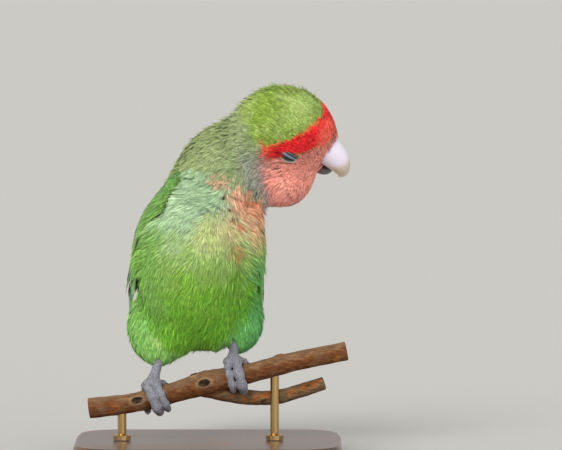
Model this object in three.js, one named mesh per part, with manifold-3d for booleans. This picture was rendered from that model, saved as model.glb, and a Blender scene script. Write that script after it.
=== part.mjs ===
// A peach-faced lovebird at life size, as a still model. The bird dozes on a cut length of branch with its
// head bowed and turned to its left, and two short rods hold the branch above a flat base.
// Millimetres, +Z up. The bird faces -Y and its left side is at +X. The origin is the middle of the base's
// underside.
import * as THREE from "three";
import { mergeVertices } from "three/addons/utils/BufferGeometryUtils.js";
import Module from "manifold-3d";

const wasm = await Module();
wasm.setup();

// Gap left between two pieces that touch.
const GAP = 0.3;

// Where the trunk, the head and the neck sit, which way they look and how they lean. Heading turns from -Y
// towards +X, pitch lifts the front, and roll tips the crown to the bird's right. Degrees.
const BODY = { at: [-1.6, 6, 66], heading: 3, pitch: 31, roll: -10 };
const HEAD = { at: [27.7, -8, 116.8], heading: 70, pitch: -14, roll: 38 };
const NECK = { at: [6.5, 0, 105.5], heading: 90, pitch: 45, roll: 0 };

// The fleshy volumes. Each lies in the frame of the body, the neck or the head, with its half sizes along
// that frame's forward, up and right axes.
const TORSO_VOLUMES = [
  { frame: BODY, at: [0, 0, 2.7], half: [37, 25, 20.7] },
  { frame: BODY, at: [19, 8, 1.4], half: [17, 16, 18.2] },
  { frame: BODY, at: [12, 13, 8], half: [17, 15.5, 13.5] },
  { frame: BODY, at: [12, 16.5, 0], half: [16, 12.5, 14] },
  { frame: BODY, at: [-20, 3, 0], half: [18.5, 17.5, 19.5] },
];
const NECK_VOLUMES = [
  { frame: NECK, at: [-1.5, 0.6, 0], half: [22, 14.9, 15.8] },
  { frame: NECK, at: [0, -7, 3], half: [17, 11.5, 14] },
];
const HEAD_VOLUMES = [
  { frame: HEAD, at: [-2, 1.2, 0], half: [16.8, 17.3, 16.5] },
  { frame: HEAD, at: [5.5, 7, 0], half: [11.5, 11.5, 11.5] },
  { frame: HEAD, at: [8.6, 1.5, 0], half: [11, 10.5, 8.1] },
  { frame: HEAD, at: [2, -13, 6], half: [10.5, 11.5, 11] },
];
// How widely two volumes of the same piece melt into each other.
const MELT = 6;

// The eyes, in the head's frame. The lids are nearly shut and leave a tilted slit.
const EYE = {
  at: [7, 4.7, 10.2],
  radius: 3.5,
  lid: 0.6,
  slitHalfHeight: 0.75,
  slitHalfLength: 3.0,
  slitTilt: 20,
};

// The bill, in the head's frame: centre lines from base to tip with half widths and half depths. The upper
// half's section is squarer below, by a power under 1, because it is widest at its cutting edges.
const UPPER_BILL = {
  line: [[11, 0.6], [15.5, 0.3], [19.2, -2.4], [21.6, -5.8], [22.1, -8.8], [21.2, -12]],
  wide: [[0, 5.9], [0.2, 5.8], [0.4, 4.8], [0.6, 3.8], [0.8, 2.5], [1, 0.35]],
  tall: [[0, 5.2], [0.2, 5.1], [0.4, 4.3], [0.6, 3.6], [0.8, 2.4], [1, 0.35]],
  square: 0.6,
};
const LOWER_BILL = {
  line: [[9.5, -7.8], [13.5, -8.4], [16.6, -8.9], [18.8, -8]],
  wide: [[0, 4.2], [0.5, 4.0], [0.8, 3.0], [1, 1.6]],
  tall: [[0, 2.6], [0.5, 2.4], [0.8, 1.7], [1, 0.5]],
};
const NOSTRIL = { at: [18.5, 3, 3.5], radius: 0.75 };

// The folded wing. It lies on a curved patch wrapped round the trunk: along runs from the bend, 0, to the
// wing tip, 1, and across from the lower edge, 0, to the upper edge, 1. At each place along, the patch is an
// arc of an ellipse round the trunk's length, from the low to the high angle, with its half width out, its
// half height tall and its centre raised. The left wing lies closer to the trunk. A pad fills the space
// between the feathers' roots and the trunk.
const WING = {
  front: 30,
  length: 77,
  lowAngle: [[0, -4], [0.2, -20], [0.45, -26], [0.75, -16], [1, -6]],
  highAngle: [[0, 50], [0.25, 62], [0.55, 64], [0.8, 46], [1, 22]],
  outRight: [[0, 18], [0.15, 22.8], [0.42, 25], [0.75, 25.4], [1, 24.4]],
  outLeft: [[0, 14.2], [0.15, 17.9], [0.42, 19.4], [0.75, 19.2], [1, 18.2]],
  tall: [[0, 24], [0.3, 23.5], [0.6, 19.5], [1, 12]],
  raised: [[0, 5], [0.3, 3], [0.6, 2.5], [1, 3.6]],
  padEnd: 0.55,
  padTop: 0.5,
  padThick: 5,
};
// The tiers of the wing's feathers, from the longest and lowest to the shortest and topmost. Root and tip
// are places along the patch, and low and high the first and last feather's places across it. Each next
// feather ends a tip step further.
const WING_TIERS = [
  { count: 7, root: 0.36, tip: 1, tipStep: -0.042, low: 0.1, high: 0.62, lowTip: 0.2, highTip: 0.75,
    wide: 6.4, lift: 0.7, stations: 5 },
  { count: 6, root: 0.24, tip: 0.75, tipStep: -0.018, low: 0.34, high: 0.96, lowTip: 0.22, highTip: 0.92,
    wide: 7.8, lift: 1.7, stations: 4 },
  { count: 3, root: 0.26, tip: 0.58, tipStep: 0.01, low: 0.06, high: 0.26, lowTip: 0.08, highTip: 0.28,
    wide: 5.6, lift: 1.7, stations: 4 },
  { count: 5, root: 0.16, tip: 0.51, tipStep: -0.008, low: 0.24, high: 0.97, lowTip: 0.22, highTip: 0.95,
    wide: 8, lift: 2.6, stations: 4 },
  { count: 5, root: 0.08, tip: 0.36, tipStep: 0, low: 0.1, high: 0.95, lowTip: 0.1, highTip: 0.92,
    wide: 7.8, lift: 3.2, stations: 4 },
  { count: 4, root: 0.0, tip: 0.22, tipStep: 0, low: 0.14, high: 0.92, lowTip: 0.12, highTip: 0.9,
    wide: 8, lift: 3.5, stations: 4 },
];
// A vane's thickness at its root and tip, the tilt that lifts its outer edge, how far its root is sunk, and
// the width of its tip against its full width.
const VANE = { thick: 0.6, tipThick: 0.5, tilt: 11, sunk: 1.6, tipWidth: 0.2 };

// The tail, in a frame of its own at the root of its feathers. Each next pair is shorter, further aside and
// lower, and fans out by a further angle.
const TAIL = {
  at: [-31, 3, 0],
  pitch: -15,
  pairs: 6,
  length: 47,
  wide: 7.4,
  shorten: 1.6,
  spread: 1.1,
  drop: 1,
  fan: 0.6,
  sag: 0.6,
};
const TAIL_ROOT = { half: [13, 7, 9.5], back: 1 };
const TAIL_COVERTS = [
  { count: 5, length: 26, wide: 7.5, spread: 3.2, lift: 1.3, side: 1 },
  { count: 5, length: 27, wide: 8, spread: 3.4, lift: 1.2, side: -1 },
];

// The branch: its centre line in the room, half thickness along it, the side twig and the scars of lost
// twigs.
const PERCH = {
  line: [[-43, -3, 18.6], [-28.1, -3, 20.4], [-18.4, -3, 22.5], [-6.5, -3, 26.1], [0.5, -3, 28],
    [7.2, -3, 29.4], [14.8, -3, 31.2], [29.5, -2.6, 35.1], [50, -2, 39.3]],
  half: [[0, 3.6], [0.2, 3.5], [0.3, 3.7], [0.42, 4.1], [0.5, 4.5], [0.6, 4.0], [0.8, 3.5], [1, 3.4]],
};
const TWIG = {
  line: [[-4, -2.4, 26.4], [4, -1.6, 24.4], [12, -0.8, 22.6], [24, 0.4, 22.2], [33, 1.6, 24.4],
    [42, 2.4, 27.2]],
  half: [[0, 3.2], [0.2, 3.0], [0.4, 2.7], [1, 2.4]],
};
const SCARS = [
  { along: 0.16, turn: 75, half: [2.3, 1.5, 1.1] },
  { along: 0.47, turn: 82, half: [2.6, 1.7, 1.0] },
  { along: 0.42, turn: 12, half: [1.8, 1.4, 1.3] },
  { along: 0.85, turn: -20, half: [2.0, 1.5, 1.2] },
];
const BARK_RIDGES = 0.03;

// The feet. Along is the foot's place on the branch. Toes wrap round the branch: turn is the angle from its
// top, forward positive, and aside the way along the branch, from the toe's root to its end.
const FOOT_RIGHT = {
  along: -18.6,
  ankle: [-16.6, 0.6, 39.5],
  thigh: [[-13, 13, 62], [-20, 7.5, 49], [-17.5, 1.8, 37.6]],
  thighHalf: [[0, 7], [0.45, 8.7], [0.82, 7.3], [1, 2.6]],
  toes: [
    { name: "inner_front", turn: [30, 162], aside: [1.6, 3.0], half: 1.5 },
    { name: "outer_front", turn: [30, 172], aside: [-1.8, 0.2], half: 1.75 },
    { name: "inner_rear", turn: [-12, -100], aside: [1.8, 6.4], half: 1.3 },
    { name: "outer_rear", turn: [-14, -150], aside: [-2.8, -4.2], half: 1.55 },
  ],
};
const FOOT_LEFT = {
  along: 10.2,
  ankle: [10.2, 2.6, 46],
  thigh: [[7, 11, 57], [11, 7, 50.5], [10.6, 3.0, 42]],
  thighHalf: [[0, 7], [0.4, 8.6], [0.8, 6.4], [1, 2.6]],
  toes: [
    { name: "inner_front", turn: [30, 150], aside: [-2.1, -1.9], half: 1.35 },
    { name: "outer_front", turn: [30, 168], aside: [1.3, 1.5], half: 1.85 },
    { name: "inner_rear", turn: [-14, -130], aside: [-1.8, -2.8], half: 1.35 },
    { name: "outer_rear", turn: [-10, -105], aside: [2.2, 6.4], half: 1.5 },
  ],
};
const TARSUS = { half: [[0, 2.2], [0.3, 1.75], [0.7, 1.8], [1, 2.7]], seat: 2.0 };
const KNUCKLE = { half: [3.6, 3.0, 2.2], turn: 8, seat: 1.9 };
const CLAW = { turn: 46, half: 0.95, tip: 0.18 };

// The display stand.
const BASE = { long: 96, deep: 68, thick: 7, corner: 14, bevel: 1.2 };
const ROD = { radius: 1.6, at: [-31, 24], collarRadius: 3.2, collarHeight: 1.6 };

// Fineness of the faceting.
const FINE = { torso: 5, neck: 4, head: 5, eye: 2 };

// A smooth curve through [place, size] pairs, as a function of the place.
function profile(pairs) {
  const slope = (i) => {
    const a = pairs[Math.max(0, i - 1)];
    const b = pairs[Math.min(pairs.length - 1, i + 1)];
    return (b[1] - a[1]) / (b[0] - a[0]);
  };
  return (place) => {
    let i = 0;
    while (i < pairs.length - 2 && place > pairs[i + 1][0]) i++;
    const [x0, y0] = pairs[i];
    const [x1, y1] = pairs[i + 1];
    const span = x1 - x0;
    const t = THREE.MathUtils.clamp((place - x0) / span, 0, 1);
    const start = y0 * (2 * t ** 3 - 3 * t ** 2 + 1) + slope(i) * span * (t ** 3 - 2 * t ** 2 + t);
    return start + y1 * (3 * t ** 2 - 2 * t ** 3) + slope(i + 1) * span * (t ** 3 - t ** 2);
  };
}

// The matrix of a frame whose axes are forward, up and right.
function frameOf({ at, heading, pitch, roll }) {
  const radians = THREE.MathUtils.degToRad;
  const level = new THREE.Vector3(Math.sin(radians(heading)), -Math.cos(radians(heading)), 0);
  const top = new THREE.Vector3(0, 0, 1);
  const mix = (a, b, angle) => a.clone().multiplyScalar(Math.cos(angle)).addScaledVector(b, Math.sin(angle));
  const forward = mix(level, top, radians(pitch));
  const right = level.clone().cross(top);
  const up = right.clone().cross(forward);
  const tipped = mix(up, right, radians(roll));
  const side = mix(right, up, radians(-roll));
  return new THREE.Matrix4().makeBasis(forward, tipped, side).setPosition(...at);
}

const [BODY_FRAME, NECK_FRAME, HEAD_FRAME] = [BODY, NECK, HEAD].map(frameOf);
const frames = new Map([[BODY, BODY_FRAME], [NECK, NECK_FRAME], [HEAD, HEAD_FRAME]]);
const point = (frame, at) => new THREE.Vector3(...at).applyMatrix4(frame);
const direction = (frame, at) => new THREE.Vector3(...at).transformDirection(frame);

// A closed geometry as a solid, its faces turned outwards.
function solidOf(geometry) {
  const bare = geometry.clone();
  bare.deleteAttribute("normal");
  bare.deleteAttribute("uv");
  const merged = mergeVertices(bare, 1e-4);
  const triVerts = Uint32Array.from(merged.index.array);
  const vertProperties = merged.attributes.position.array;
  const solid = new wasm.Manifold(new wasm.Mesh({ numProp: 3, vertProperties, triVerts }));
  if (solid.volume() > 0) return solid;
  for (let i = 0; i < triVerts.length; i += 3) {
    const second = triVerts[i + 1];
    triVerts[i + 1] = triVerts[i + 2];
    triVerts[i + 2] = second;
  }
  return new wasm.Manifold(new wasm.Mesh({ numProp: 3, vertProperties, triVerts }));
}

// The largest of a solid's separate bodies.
function largestOf(solid) {
  return solid.decompose().reduce((best, body) => (body.volume() > best.volume() ? body : best));
}

const joined = (solids) => solids.reduce((whole, solid) => whole.add(solid));

// Signed distance, near enough, from an ellipsoid's surface.
function ellipsoidField({ frame, at, half }) {
  const inverse = frames.get(frame).clone().multiply(new THREE.Matrix4().makeTranslation(...at)).invert();
  return (place) => {
    const p = place.clone().applyMatrix4(inverse);
    const k0 = Math.hypot(p.x / half[0], p.y / half[1], p.z / half[2]);
    const k1 = Math.hypot(p.x / half[0] ** 2, p.y / half[1] ** 2, p.z / half[2] ** 2);
    return k1 < 1e-6 ? -Math.min(...half) : (k0 * (k0 - 1)) / k1;
  };
}

// Several fields melted into one.
function melt(fields, reach) {
  return (place) => fields.map((field) => field(place)).reduce((a, b) => {
    const share = Math.max(reach - Math.abs(a - b), 0) / reach;
    return Math.min(a, b) - (share * share * reach) / 4;
  });
}

const [torsoField, neckField, headField] = [TORSO_VOLUMES, NECK_VOLUMES, HEAD_VOLUMES]
  .map((volumes) => melt(volumes.map(ellipsoidField), MELT));

// The surface where a field equals grow, found outwards from a centre in every direction of an icosphere.
function cast(field, centre, detail, grow = 0) {
  const STEP = 1.5;
  const REACH = 120;
  const geometry = new THREE.IcosahedronGeometry(1, detail);
  const positions = geometry.getAttribute("position");
  const way = new THREE.Vector3();
  const at = (distance) => centre.clone().addScaledVector(way, distance);
  for (let i = 0; i < positions.count; i++) {
    way.fromBufferAttribute(positions, i).normalize();
    let far = STEP;
    while (far < REACH && field(at(far)) < grow) far += STEP;
    let near = far - STEP;
    for (let n = 0; n < 24; n++) {
      const middle = (near + far) / 2;
      if (field(at(middle)) < grow) near = middle;
      else far = middle;
    }
    positions.setXYZ(i, ...at(near).toArray());
  }
  return solidOf(geometry);
}

// A block that fills the side of a plane its normal points to.
function halfSpace(at, normal) {
  const SIZE = 400;
  const block = new THREE.BoxGeometry(SIZE, SIZE, SIZE).translate(0, 0, SIZE / 2);
  const turn = new THREE.Quaternion()
    .setFromUnitVectors(new THREE.Vector3(0, 0, 1), normal.clone().normalize());
  return solidOf(block.applyQuaternion(turn).translate(...at.toArray()));
}

// A tube along a curve, closed at both ends. Its section is an ellipse, wide along the side direction. Below
// its middle, a width share is raised to the power given as square.
function loft({ curve, side, wide, tall, sides, rings, square = 1, clear = 0 }) {
  const geometry = new THREE.CylinderGeometry(1, 1, 1, sides, rings);
  const positions = geometry.getAttribute("position");
  for (let i = 0; i < positions.count; i++) {
    const u = THREE.MathUtils.clamp(0.5 - positions.getY(i), 0, 1);
    const along = curve.getTangent(u);
    const up = side.clone().cross(along).normalize();
    const across = along.clone().cross(up);
    const end = u <= 0 ? -clear : u >= 1 ? clear : 0;
    const aside = positions.getX(i);
    const share = positions.getZ(i) < 0 ? Math.sign(aside) * Math.abs(aside) ** square : aside;
    const place = curve.getPoint(u)
      .addScaledVector(along, end)
      .addScaledVector(across, share * (wide(u) + clear))
      .addScaledVector(up, positions.getZ(i) * (tall(u) + clear));
    positions.setXYZ(i, ...place.toArray());
  }
  return solidOf(geometry);
}

const curveThrough = (points) => new THREE.CatmullRomCurve3(points, false, "centripetal");
const roomCurve = (points) => curveThrough(points.map((at) => new THREE.Vector3(...at)));

// A closed sheet between two grids of points, both split into triangles the same way.
function plate(top, bottom) {
  const rows = top.length;
  const columns = top[0].length;
  const places = [...top.flat(), ...bottom.flat()];
  const first = rows * columns;
  const at = (i, j, under) => (under ? first : 0) + i * columns + j;
  const index = [];
  for (let i = 0; i < rows - 1; i++) {
    for (let j = 0; j < columns - 1; j++) {
      index.push(at(i, j), at(i, j + 1), at(i + 1, j), at(i, j + 1), at(i + 1, j + 1), at(i + 1, j));
      index.push(at(i, j, 1), at(i + 1, j, 1), at(i, j + 1, 1));
      index.push(at(i, j + 1, 1), at(i + 1, j, 1), at(i + 1, j + 1, 1));
    }
  }
  const rim = [];
  for (let j = 0; j < columns; j++) rim.push([0, j]);
  for (let i = 1; i < rows; i++) rim.push([i, columns - 1]);
  for (let j = columns - 2; j >= 0; j--) rim.push([rows - 1, j]);
  for (let i = rows - 2; i > 0; i--) rim.push([i, 0]);
  rim.forEach(([i, j], n) => {
    const [k, l] = rim[(n + 1) % rim.length];
    index.push(at(i, j), at(i, j, 1), at(k, l), at(k, l), at(i, j, 1), at(k, l, 1));
  });
  const geometry = new THREE.BufferGeometry();
  geometry.setFromPoints(places);
  geometry.setIndex(index);
  return solidOf(geometry);
}

// How a feather's width changes from its root to its rounded tip, as a share of its full width.
const featherWidth = profile([[0, 0.45], [0.25, 0.85], [0.6, 1], [0.85, 0.82], [1, VANE.tipWidth]]);

// A feather's vane. The path gives its place and the outward direction at each station. Its outer edge is
// raised by the tilt, so that it lies over its neighbour like a roof tile. It thins towards its tip.
function vane({ path, wide, stations, outerEdge, rise }) {
  const top = [];
  const bottom = [];
  const slant = Math.tan(THREE.MathUtils.degToRad(VANE.tilt)) * outerEdge;
  for (let i = 0; i < stations; i++) {
    const u = i / (stations - 1);
    const { place, out } = path(u);
    const ahead = path(Math.min(1, u + 0.02)).place.sub(path(Math.max(0, u - 0.02)).place).normalize();
    const across = out.clone().cross(ahead).normalize();
    const half = (featherWidth(u) * wide) / 2;
    const middle = place.clone().addScaledVector(out, rise(u));
    const thick = THREE.MathUtils.lerp(VANE.thick, VANE.tipThick, u);
    const line = [-1, 1].map((side) => middle.clone()
      .addScaledVector(across, side * half)
      .addScaledVector(out, side * half * slant));
    top.push(line.map((edge) => edge.clone().addScaledVector(out, thick / 2)));
    bottom.push(line.map((edge) => edge.clone().addScaledVector(out, -thick / 2)));
  }
  return plate(top, bottom);
}

const part = new THREE.Group();
part.name = "peach_faced_lovebird";

const material = (color, roughness, metalness = 0) => (
  new THREE.MeshStandardMaterial({ color, roughness, metalness })
);
const MATERIALS = {
  green: material(0x8fc63f, 0.85),
  paleGreen: material(0xa9cf8a, 0.9),
  crownGreen: material(0x93b84a, 0.9),
  wingGreen: material(0x4fa83a, 0.7),
  tailGreen: material(0x3fae6a, 0.7),
  bill: material(0xeadfd6, 0.35),
  lowerBill: material(0xb9b0a8, 0.4),
  eye: material(0x120d0b, 0.08),
  lid: material(0xc9ccd2, 0.6),
  skin: material(0xaeb2bd, 0.75),
  claw: material(0x3a3735, 0.4),
  bark: material(0x9a6f50, 0.9),
  wood: material(0x5a3822, 0.4),
  brass: material(0xb08d4a, 0.3, 1),
};

// Puts a solid into the part as a named mesh. Only its largest body is kept.
function add(name, solid, finish) {
  const made = largestOf(solid).getMesh();
  const geometry = new THREE.BufferGeometry();
  geometry.setAttribute("position", new THREE.BufferAttribute(made.vertProperties, 3));
  geometry.setIndex(new THREE.BufferAttribute(made.triVerts, 1));
  geometry.computeVertexNormals();
  const mesh = new THREE.Mesh(geometry, finish);
  mesh.name = name;
  part.add(mesh);
}

// Torso, neck and head. The neck fills what the other two leave of it.
const torsoCentre = point(BODY_FRAME, [4, 3, 0]);
const neckCentre = point(NECK_FRAME, [0, -3, 1]);
const headCentre = point(HEAD_FRAME, [0, -2, 1]);
const torso = cast(torsoField, torsoCentre, FINE.torso);
const torsoGrown = cast(torsoField, torsoCentre, FINE.torso, GAP);
const headGrown = cast(headField, headCentre, FINE.head, GAP);
const headBlank = cast(headField, headCentre, FINE.head).subtract(torsoGrown);
const neck = cast(neckField, neckCentre, FINE.neck).subtract(torsoGrown).subtract(headGrown);
const neckGrown = cast(neckField, neckCentre, FINE.neck, GAP);

// The bill's two halves, made with or without the gap round them.
function billHalf({ line, wide, tall, square }, clear = 0) {
  return loft({
    curve: curveThrough(line.map(([forward, up]) => point(HEAD_FRAME, [forward, up, 0]))),
    side: direction(HEAD_FRAME, [0, 0, 1]),
    wide: profile(wide),
    tall: profile(tall),
    sides: 14,
    rings: 8,
    square,
    clear,
  });
}

const ball = (centre, radius, detail) => solidOf(
  new THREE.IcosahedronGeometry(radius, detail).translate(...centre.toArray()),
);

// One eye: the ball, the lids over it with the slit between them, and the socket that the head is cut by.
function eyeParts(side) {
  const centre = point(HEAD_FRAME, [EYE.at[0], EYE.at[1], EYE.at[2] * side]);
  const globe = ball(centre, EYE.radius, FINE.eye);
  const inward = direction(HEAD_FRAME, [0, 0, -side]);
  const behind = (by) => halfSpace(centre.clone().addScaledVector(inward, by), inward);
  const shell = ball(centre, EYE.radius + GAP + EYE.lid, FINE.eye)
    .subtract(ball(centre, EYE.radius + GAP, FINE.eye))
    .subtract(behind(0));
  const tilt = THREE.MathUtils.degToRad(EYE.slitTilt);
  const outline = new THREE.Shape();
  outline.moveTo(-EYE.slitHalfLength, 0);
  outline.quadraticCurveTo(0, 2 * EYE.slitHalfHeight, EYE.slitHalfLength, 0);
  outline.quadraticCurveTo(0, -2 * EYE.slitHalfHeight, -EYE.slitHalfLength, 0);
  const placed = HEAD_FRAME.clone().multiply(new THREE.Matrix4().makeTranslation(EYE.at[0], EYE.at[1], 0));
  const slit = new THREE.ExtrudeGeometry(outline, { depth: 30, bevelEnabled: false, curveSegments: 6 })
    .translate(0, 0, EYE.at[2])
    .rotateZ(-tilt);
  if (side < 0) slit.scale(1, 1, -1);
  const lids = shell.subtract(solidOf(slit.applyMatrix4(placed)));
  const socket = ball(centre, EYE.radius + 2 * GAP + EYE.lid, FINE.eye)
    .subtract(behind(GAP))
    .add(ball(centre, EYE.radius + GAP, FINE.eye));
  return { globe, lids, socket };
}

const eyes = { right: eyeParts(1), left: eyeParts(-1) };
let head = headBlank
  .subtract(billHalf(UPPER_BILL, GAP))
  .subtract(billHalf(LOWER_BILL, GAP));
for (const [name, { globe, lids, socket }] of Object.entries(eyes)) {
  head = head.subtract(socket);
  add("eye_" + name, globe, MATERIALS.eye);
  add("eyelids_" + name, lids, MATERIALS.lid);
}
const upperBill = billHalf(UPPER_BILL);
const nostrils = joined([1, -1].map((side) => ball(
  point(HEAD_FRAME, [NOSTRIL.at[0], NOSTRIL.at[1], NOSTRIL.at[2] * side]), NOSTRIL.radius, 1)));
add("bill_upper", upperBill.subtract(nostrils), MATERIALS.bill);
add("bill_lower", billHalf(LOWER_BILL).subtract(billHalf(UPPER_BILL, GAP)), MATERIALS.lowerBill);
add("head", head, MATERIALS.crownGreen);

// The wing's patch, as a place and an outward direction for each along and across. Side is 1 on the right.
const wingShape = Object.fromEntries(["lowAngle", "highAngle", "outRight", "outLeft", "tall", "raised"]
  .map((name) => [name, profile(WING[name])]));
function wingPlace(along, across, side) {
  const angle = THREE.MathUtils.degToRad(
    THREE.MathUtils.lerp(wingShape.lowAngle(along), wingShape.highAngle(along), across));
  const out = (side > 0 ? wingShape.outRight : wingShape.outLeft)(along) * Math.cos(angle);
  const up = wingShape.raised(along) + wingShape.tall(along) * Math.sin(angle);
  return point(BODY_FRAME, [WING.front - WING.length * along, up, out * side]);
}
function wingOutward(along, across, side) {
  const STEP = 0.02;
  const back = wingPlace(along + STEP, across, side).sub(wingPlace(along - STEP, across, side));
  const up = wingPlace(along, across + STEP, side).sub(wingPlace(along, across - STEP, side));
  return back.cross(up).multiplyScalar(-side).normalize();
}

// The feathered thigh.
function thighSolid({ thigh, thighHalf }, clear = 0) {
  return loft({
    curve: roomCurve(thigh),
    side: new THREE.Vector3(1, 0, 0),
    wide: profile(thighHalf),
    tall: profile(thighHalf),
    sides: 14,
    rings: 7,
    clear,
  });
}

// The solid under the feathers, which lies on the trunk.
function wingPad(side) {
  const ROWS = 7;
  const COLUMNS = 6;
  const top = [];
  const bottom = [];
  for (let i = 0; i < ROWS; i++) {
    const along = (i / (ROWS - 1)) * WING.padEnd;
    const row = [...Array(COLUMNS)].map((_, j) => {
      const across = 0.06 + (0.9 * j) / (COLUMNS - 1);
      return { place: wingPlace(along, across, side), out: wingOutward(along, across, side) };
    });
    const full = 1 - (i / (ROWS - 1)) ** 4 * 0.7;
    top.push(row.map(({ place, out }, j) => place.clone()
      .addScaledVector(out, (j === 0 || j === COLUMNS - 1 ? 0 : WING.padTop) * full)));
    bottom.push(row.map(({ place, out }) => place.clone().addScaledVector(out, -WING.padThick * full)));
  }
  return plate(top, bottom);
}

// The feathers of one tier, side by side across the patch.
function wingTier(tier, side) {
  return [...Array(tier.count)].map((_, n) => {
    const share = n / (tier.count - 1);
    const rootAcross = THREE.MathUtils.lerp(tier.low, tier.high, share);
    const tipAcross = THREE.MathUtils.lerp(tier.lowTip, tier.highTip, share);
    const tipAlong = tier.tip + tier.tipStep * n;
    const path = (u) => {
      const along = THREE.MathUtils.lerp(tier.root, tipAlong, u);
      const across = THREE.MathUtils.lerp(rootAcross, tipAcross, u);
      return { place: wingPlace(along, across, side), out: wingOutward(along, across, side) };
    };
    const rise = (u) => tier.lift - VANE.sunk * (1 - THREE.MathUtils.smoothstep(u, 0, 0.35));
    return vane({ path, wide: tier.wide, stations: tier.stations, outerEdge: side, rise });
  });
}

for (const [name, side, foot] of [["right", 1, FOOT_RIGHT], ["left", -1, FOOT_LEFT]]) {
  const feathers = WING_TIERS.flatMap((tier) => wingTier(tier, side));
  const wing = joined([wingPad(side), ...feathers])
    .subtract(torsoGrown).subtract(neckGrown).subtract(thighSolid(foot, GAP));
  add("wing_" + name, wing, MATERIALS.wingGreen);
}

// The tail: a root, six pairs of feathers stacked like a roof with the middle pair on top, and the coverts
// over and under them.
const TAIL_FRAME = frameOf({
  at: point(BODY_FRAME, TAIL.at).toArray(), heading: BODY.heading, pitch: -TAIL.pitch, roll: BODY.roll,
});
function tailFeather({ length, wide, aside, height, fan, sunk, stations }) {
  const spread = THREE.MathUtils.degToRad(fan);
  const path = (u) => ({
    place: point(TAIL_FRAME, [
      -length * u * Math.cos(spread), height - TAIL.sag * u * u, aside + length * u * Math.sin(spread),
    ]),
    out: direction(TAIL_FRAME, [0, 1, 0]),
  });
  const rise = (u) => -sunk * (1 - THREE.MathUtils.smoothstep(u, 0, 0.5));
  return vane({ path, wide, stations, outerEdge: 0, rise });
}
const tailFeathers = [];
for (const side of [1, -1]) {
  for (let n = 0; n < TAIL.pairs; n++) {
    tailFeathers.push(tailFeather({
      length: TAIL.length - TAIL.shorten * n,
      wide: TAIL.wide,
      aside: side * (0.9 + TAIL.spread * n),
      height: -TAIL.drop * (n + (side < 0 ? 0.5 : 0)),
      fan: side * TAIL.fan * n,
      sunk: 0,
      stations: 4,
    }));
  }
}
for (const { count, length, wide, spread, lift, side } of TAIL_COVERTS) {
  for (let n = 0; n < count; n++) {
    const place = n - (count - 1) / 2;
    const stack = side > 0 ? 0 : -TAIL.drop * (TAIL.pairs - 0.5);
    tailFeathers.push(tailFeather({
      length: length - 2 * Math.abs(place),
      wide,
      aside: place * spread,
      height: stack + side * (lift - 0.7 * Math.abs(place)),
      fan: place * 2,
      sunk: 1.4 * side,
      stations: 4,
    }));
  }
}
const tailRoot = solidOf(new THREE.IcosahedronGeometry(1, 2)
  .scale(...TAIL_ROOT.half)
  .translate(-TAIL_ROOT.back, -TAIL.drop * 2.5, 0)
  .applyMatrix4(TAIL_FRAME));
add("tail", joined([tailRoot, ...tailFeathers]).subtract(torsoGrown), MATERIALS.tailGreen);

// The branch, with its side twig and the raised scars of lost twigs.
const perchCurve = roomCurve(PERCH.line);
const perchHalf = profile(PERCH.half);
const twigCurve = roomCurve(TWIG.line);
const twigHalf = profile(TWIG.half);
function branch(curve, half, rings, clear = 0) {
  const wave = (u, phase) => (
    1 + BARK_RIDGES * (Math.sin(u * 31 + phase) + Math.sin(u * 67 + phase) / 2)
  );
  return loft({
    curve,
    side: new THREE.Vector3(0, 1, 0),
    wide: (u) => half(u) * wave(u, 0.7),
    tall: (u) => half(u) * wave(u, 2.1),
    sides: 10,
    rings,
    clear,
  });
}
// Axes round the branch at a place along it: along the branch, up from its top, and forward.
function perchFrame(u) {
  const along = perchCurve.getTangent(u);
  const forward = along.clone().cross(new THREE.Vector3(0, 0, 1)).normalize();
  const up = forward.clone().cross(along);
  return { centre: perchCurve.getPoint(u), along, forward, up };
}
function scar({ along, turn, half }) {
  const { centre, along: axis, forward, up } = perchFrame(along);
  const angle = THREE.MathUtils.degToRad(turn);
  const out = up.clone().multiplyScalar(Math.cos(angle)).addScaledVector(forward, Math.sin(angle));
  const tangent = axis.clone().cross(out);
  const placed = new THREE.Matrix4().makeBasis(axis, tangent, out)
    .setPosition(centre.addScaledVector(out, perchHalf(along) - 0.3));
  return solidOf(new THREE.IcosahedronGeometry(1, 1).scale(...half).applyMatrix4(placed));
}
const perch = joined([
  branch(perchCurve, perchHalf, 18),
  branch(twigCurve, twigHalf, 9),
  ...SCARS.map(scar),
]);
const perchGrown = joined([branch(perchCurve, perchHalf, 18, GAP), branch(twigCurve, twigHalf, 9, GAP)]);
add("perch", perch, MATERIALS.bark);

// Where along the branch's curve its centre has a given X.
function perchAlong(x) {
  let low = 0;
  let high = 1;
  for (let n = 0; n < 30; n++) {
    const middle = (low + high) / 2;
    if (perchCurve.getPoint(middle).x < x) low = middle;
    else high = middle;
  }
  return low;
}

// The place round the branch that a toe passes at a turn from the top, a way aside and a height off the bark.
function roundPerch(foot, turn, aside, height) {
  const { centre, along, forward, up } = perchFrame(perchAlong(foot.along + aside));
  const angle = THREE.MathUtils.degToRad(turn);
  const reach = perchHalf(perchAlong(foot.along + aside)) + height;
  return centre.addScaledVector(up, Math.cos(angle) * reach).addScaledVector(forward, Math.sin(angle) * reach);
}

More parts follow.
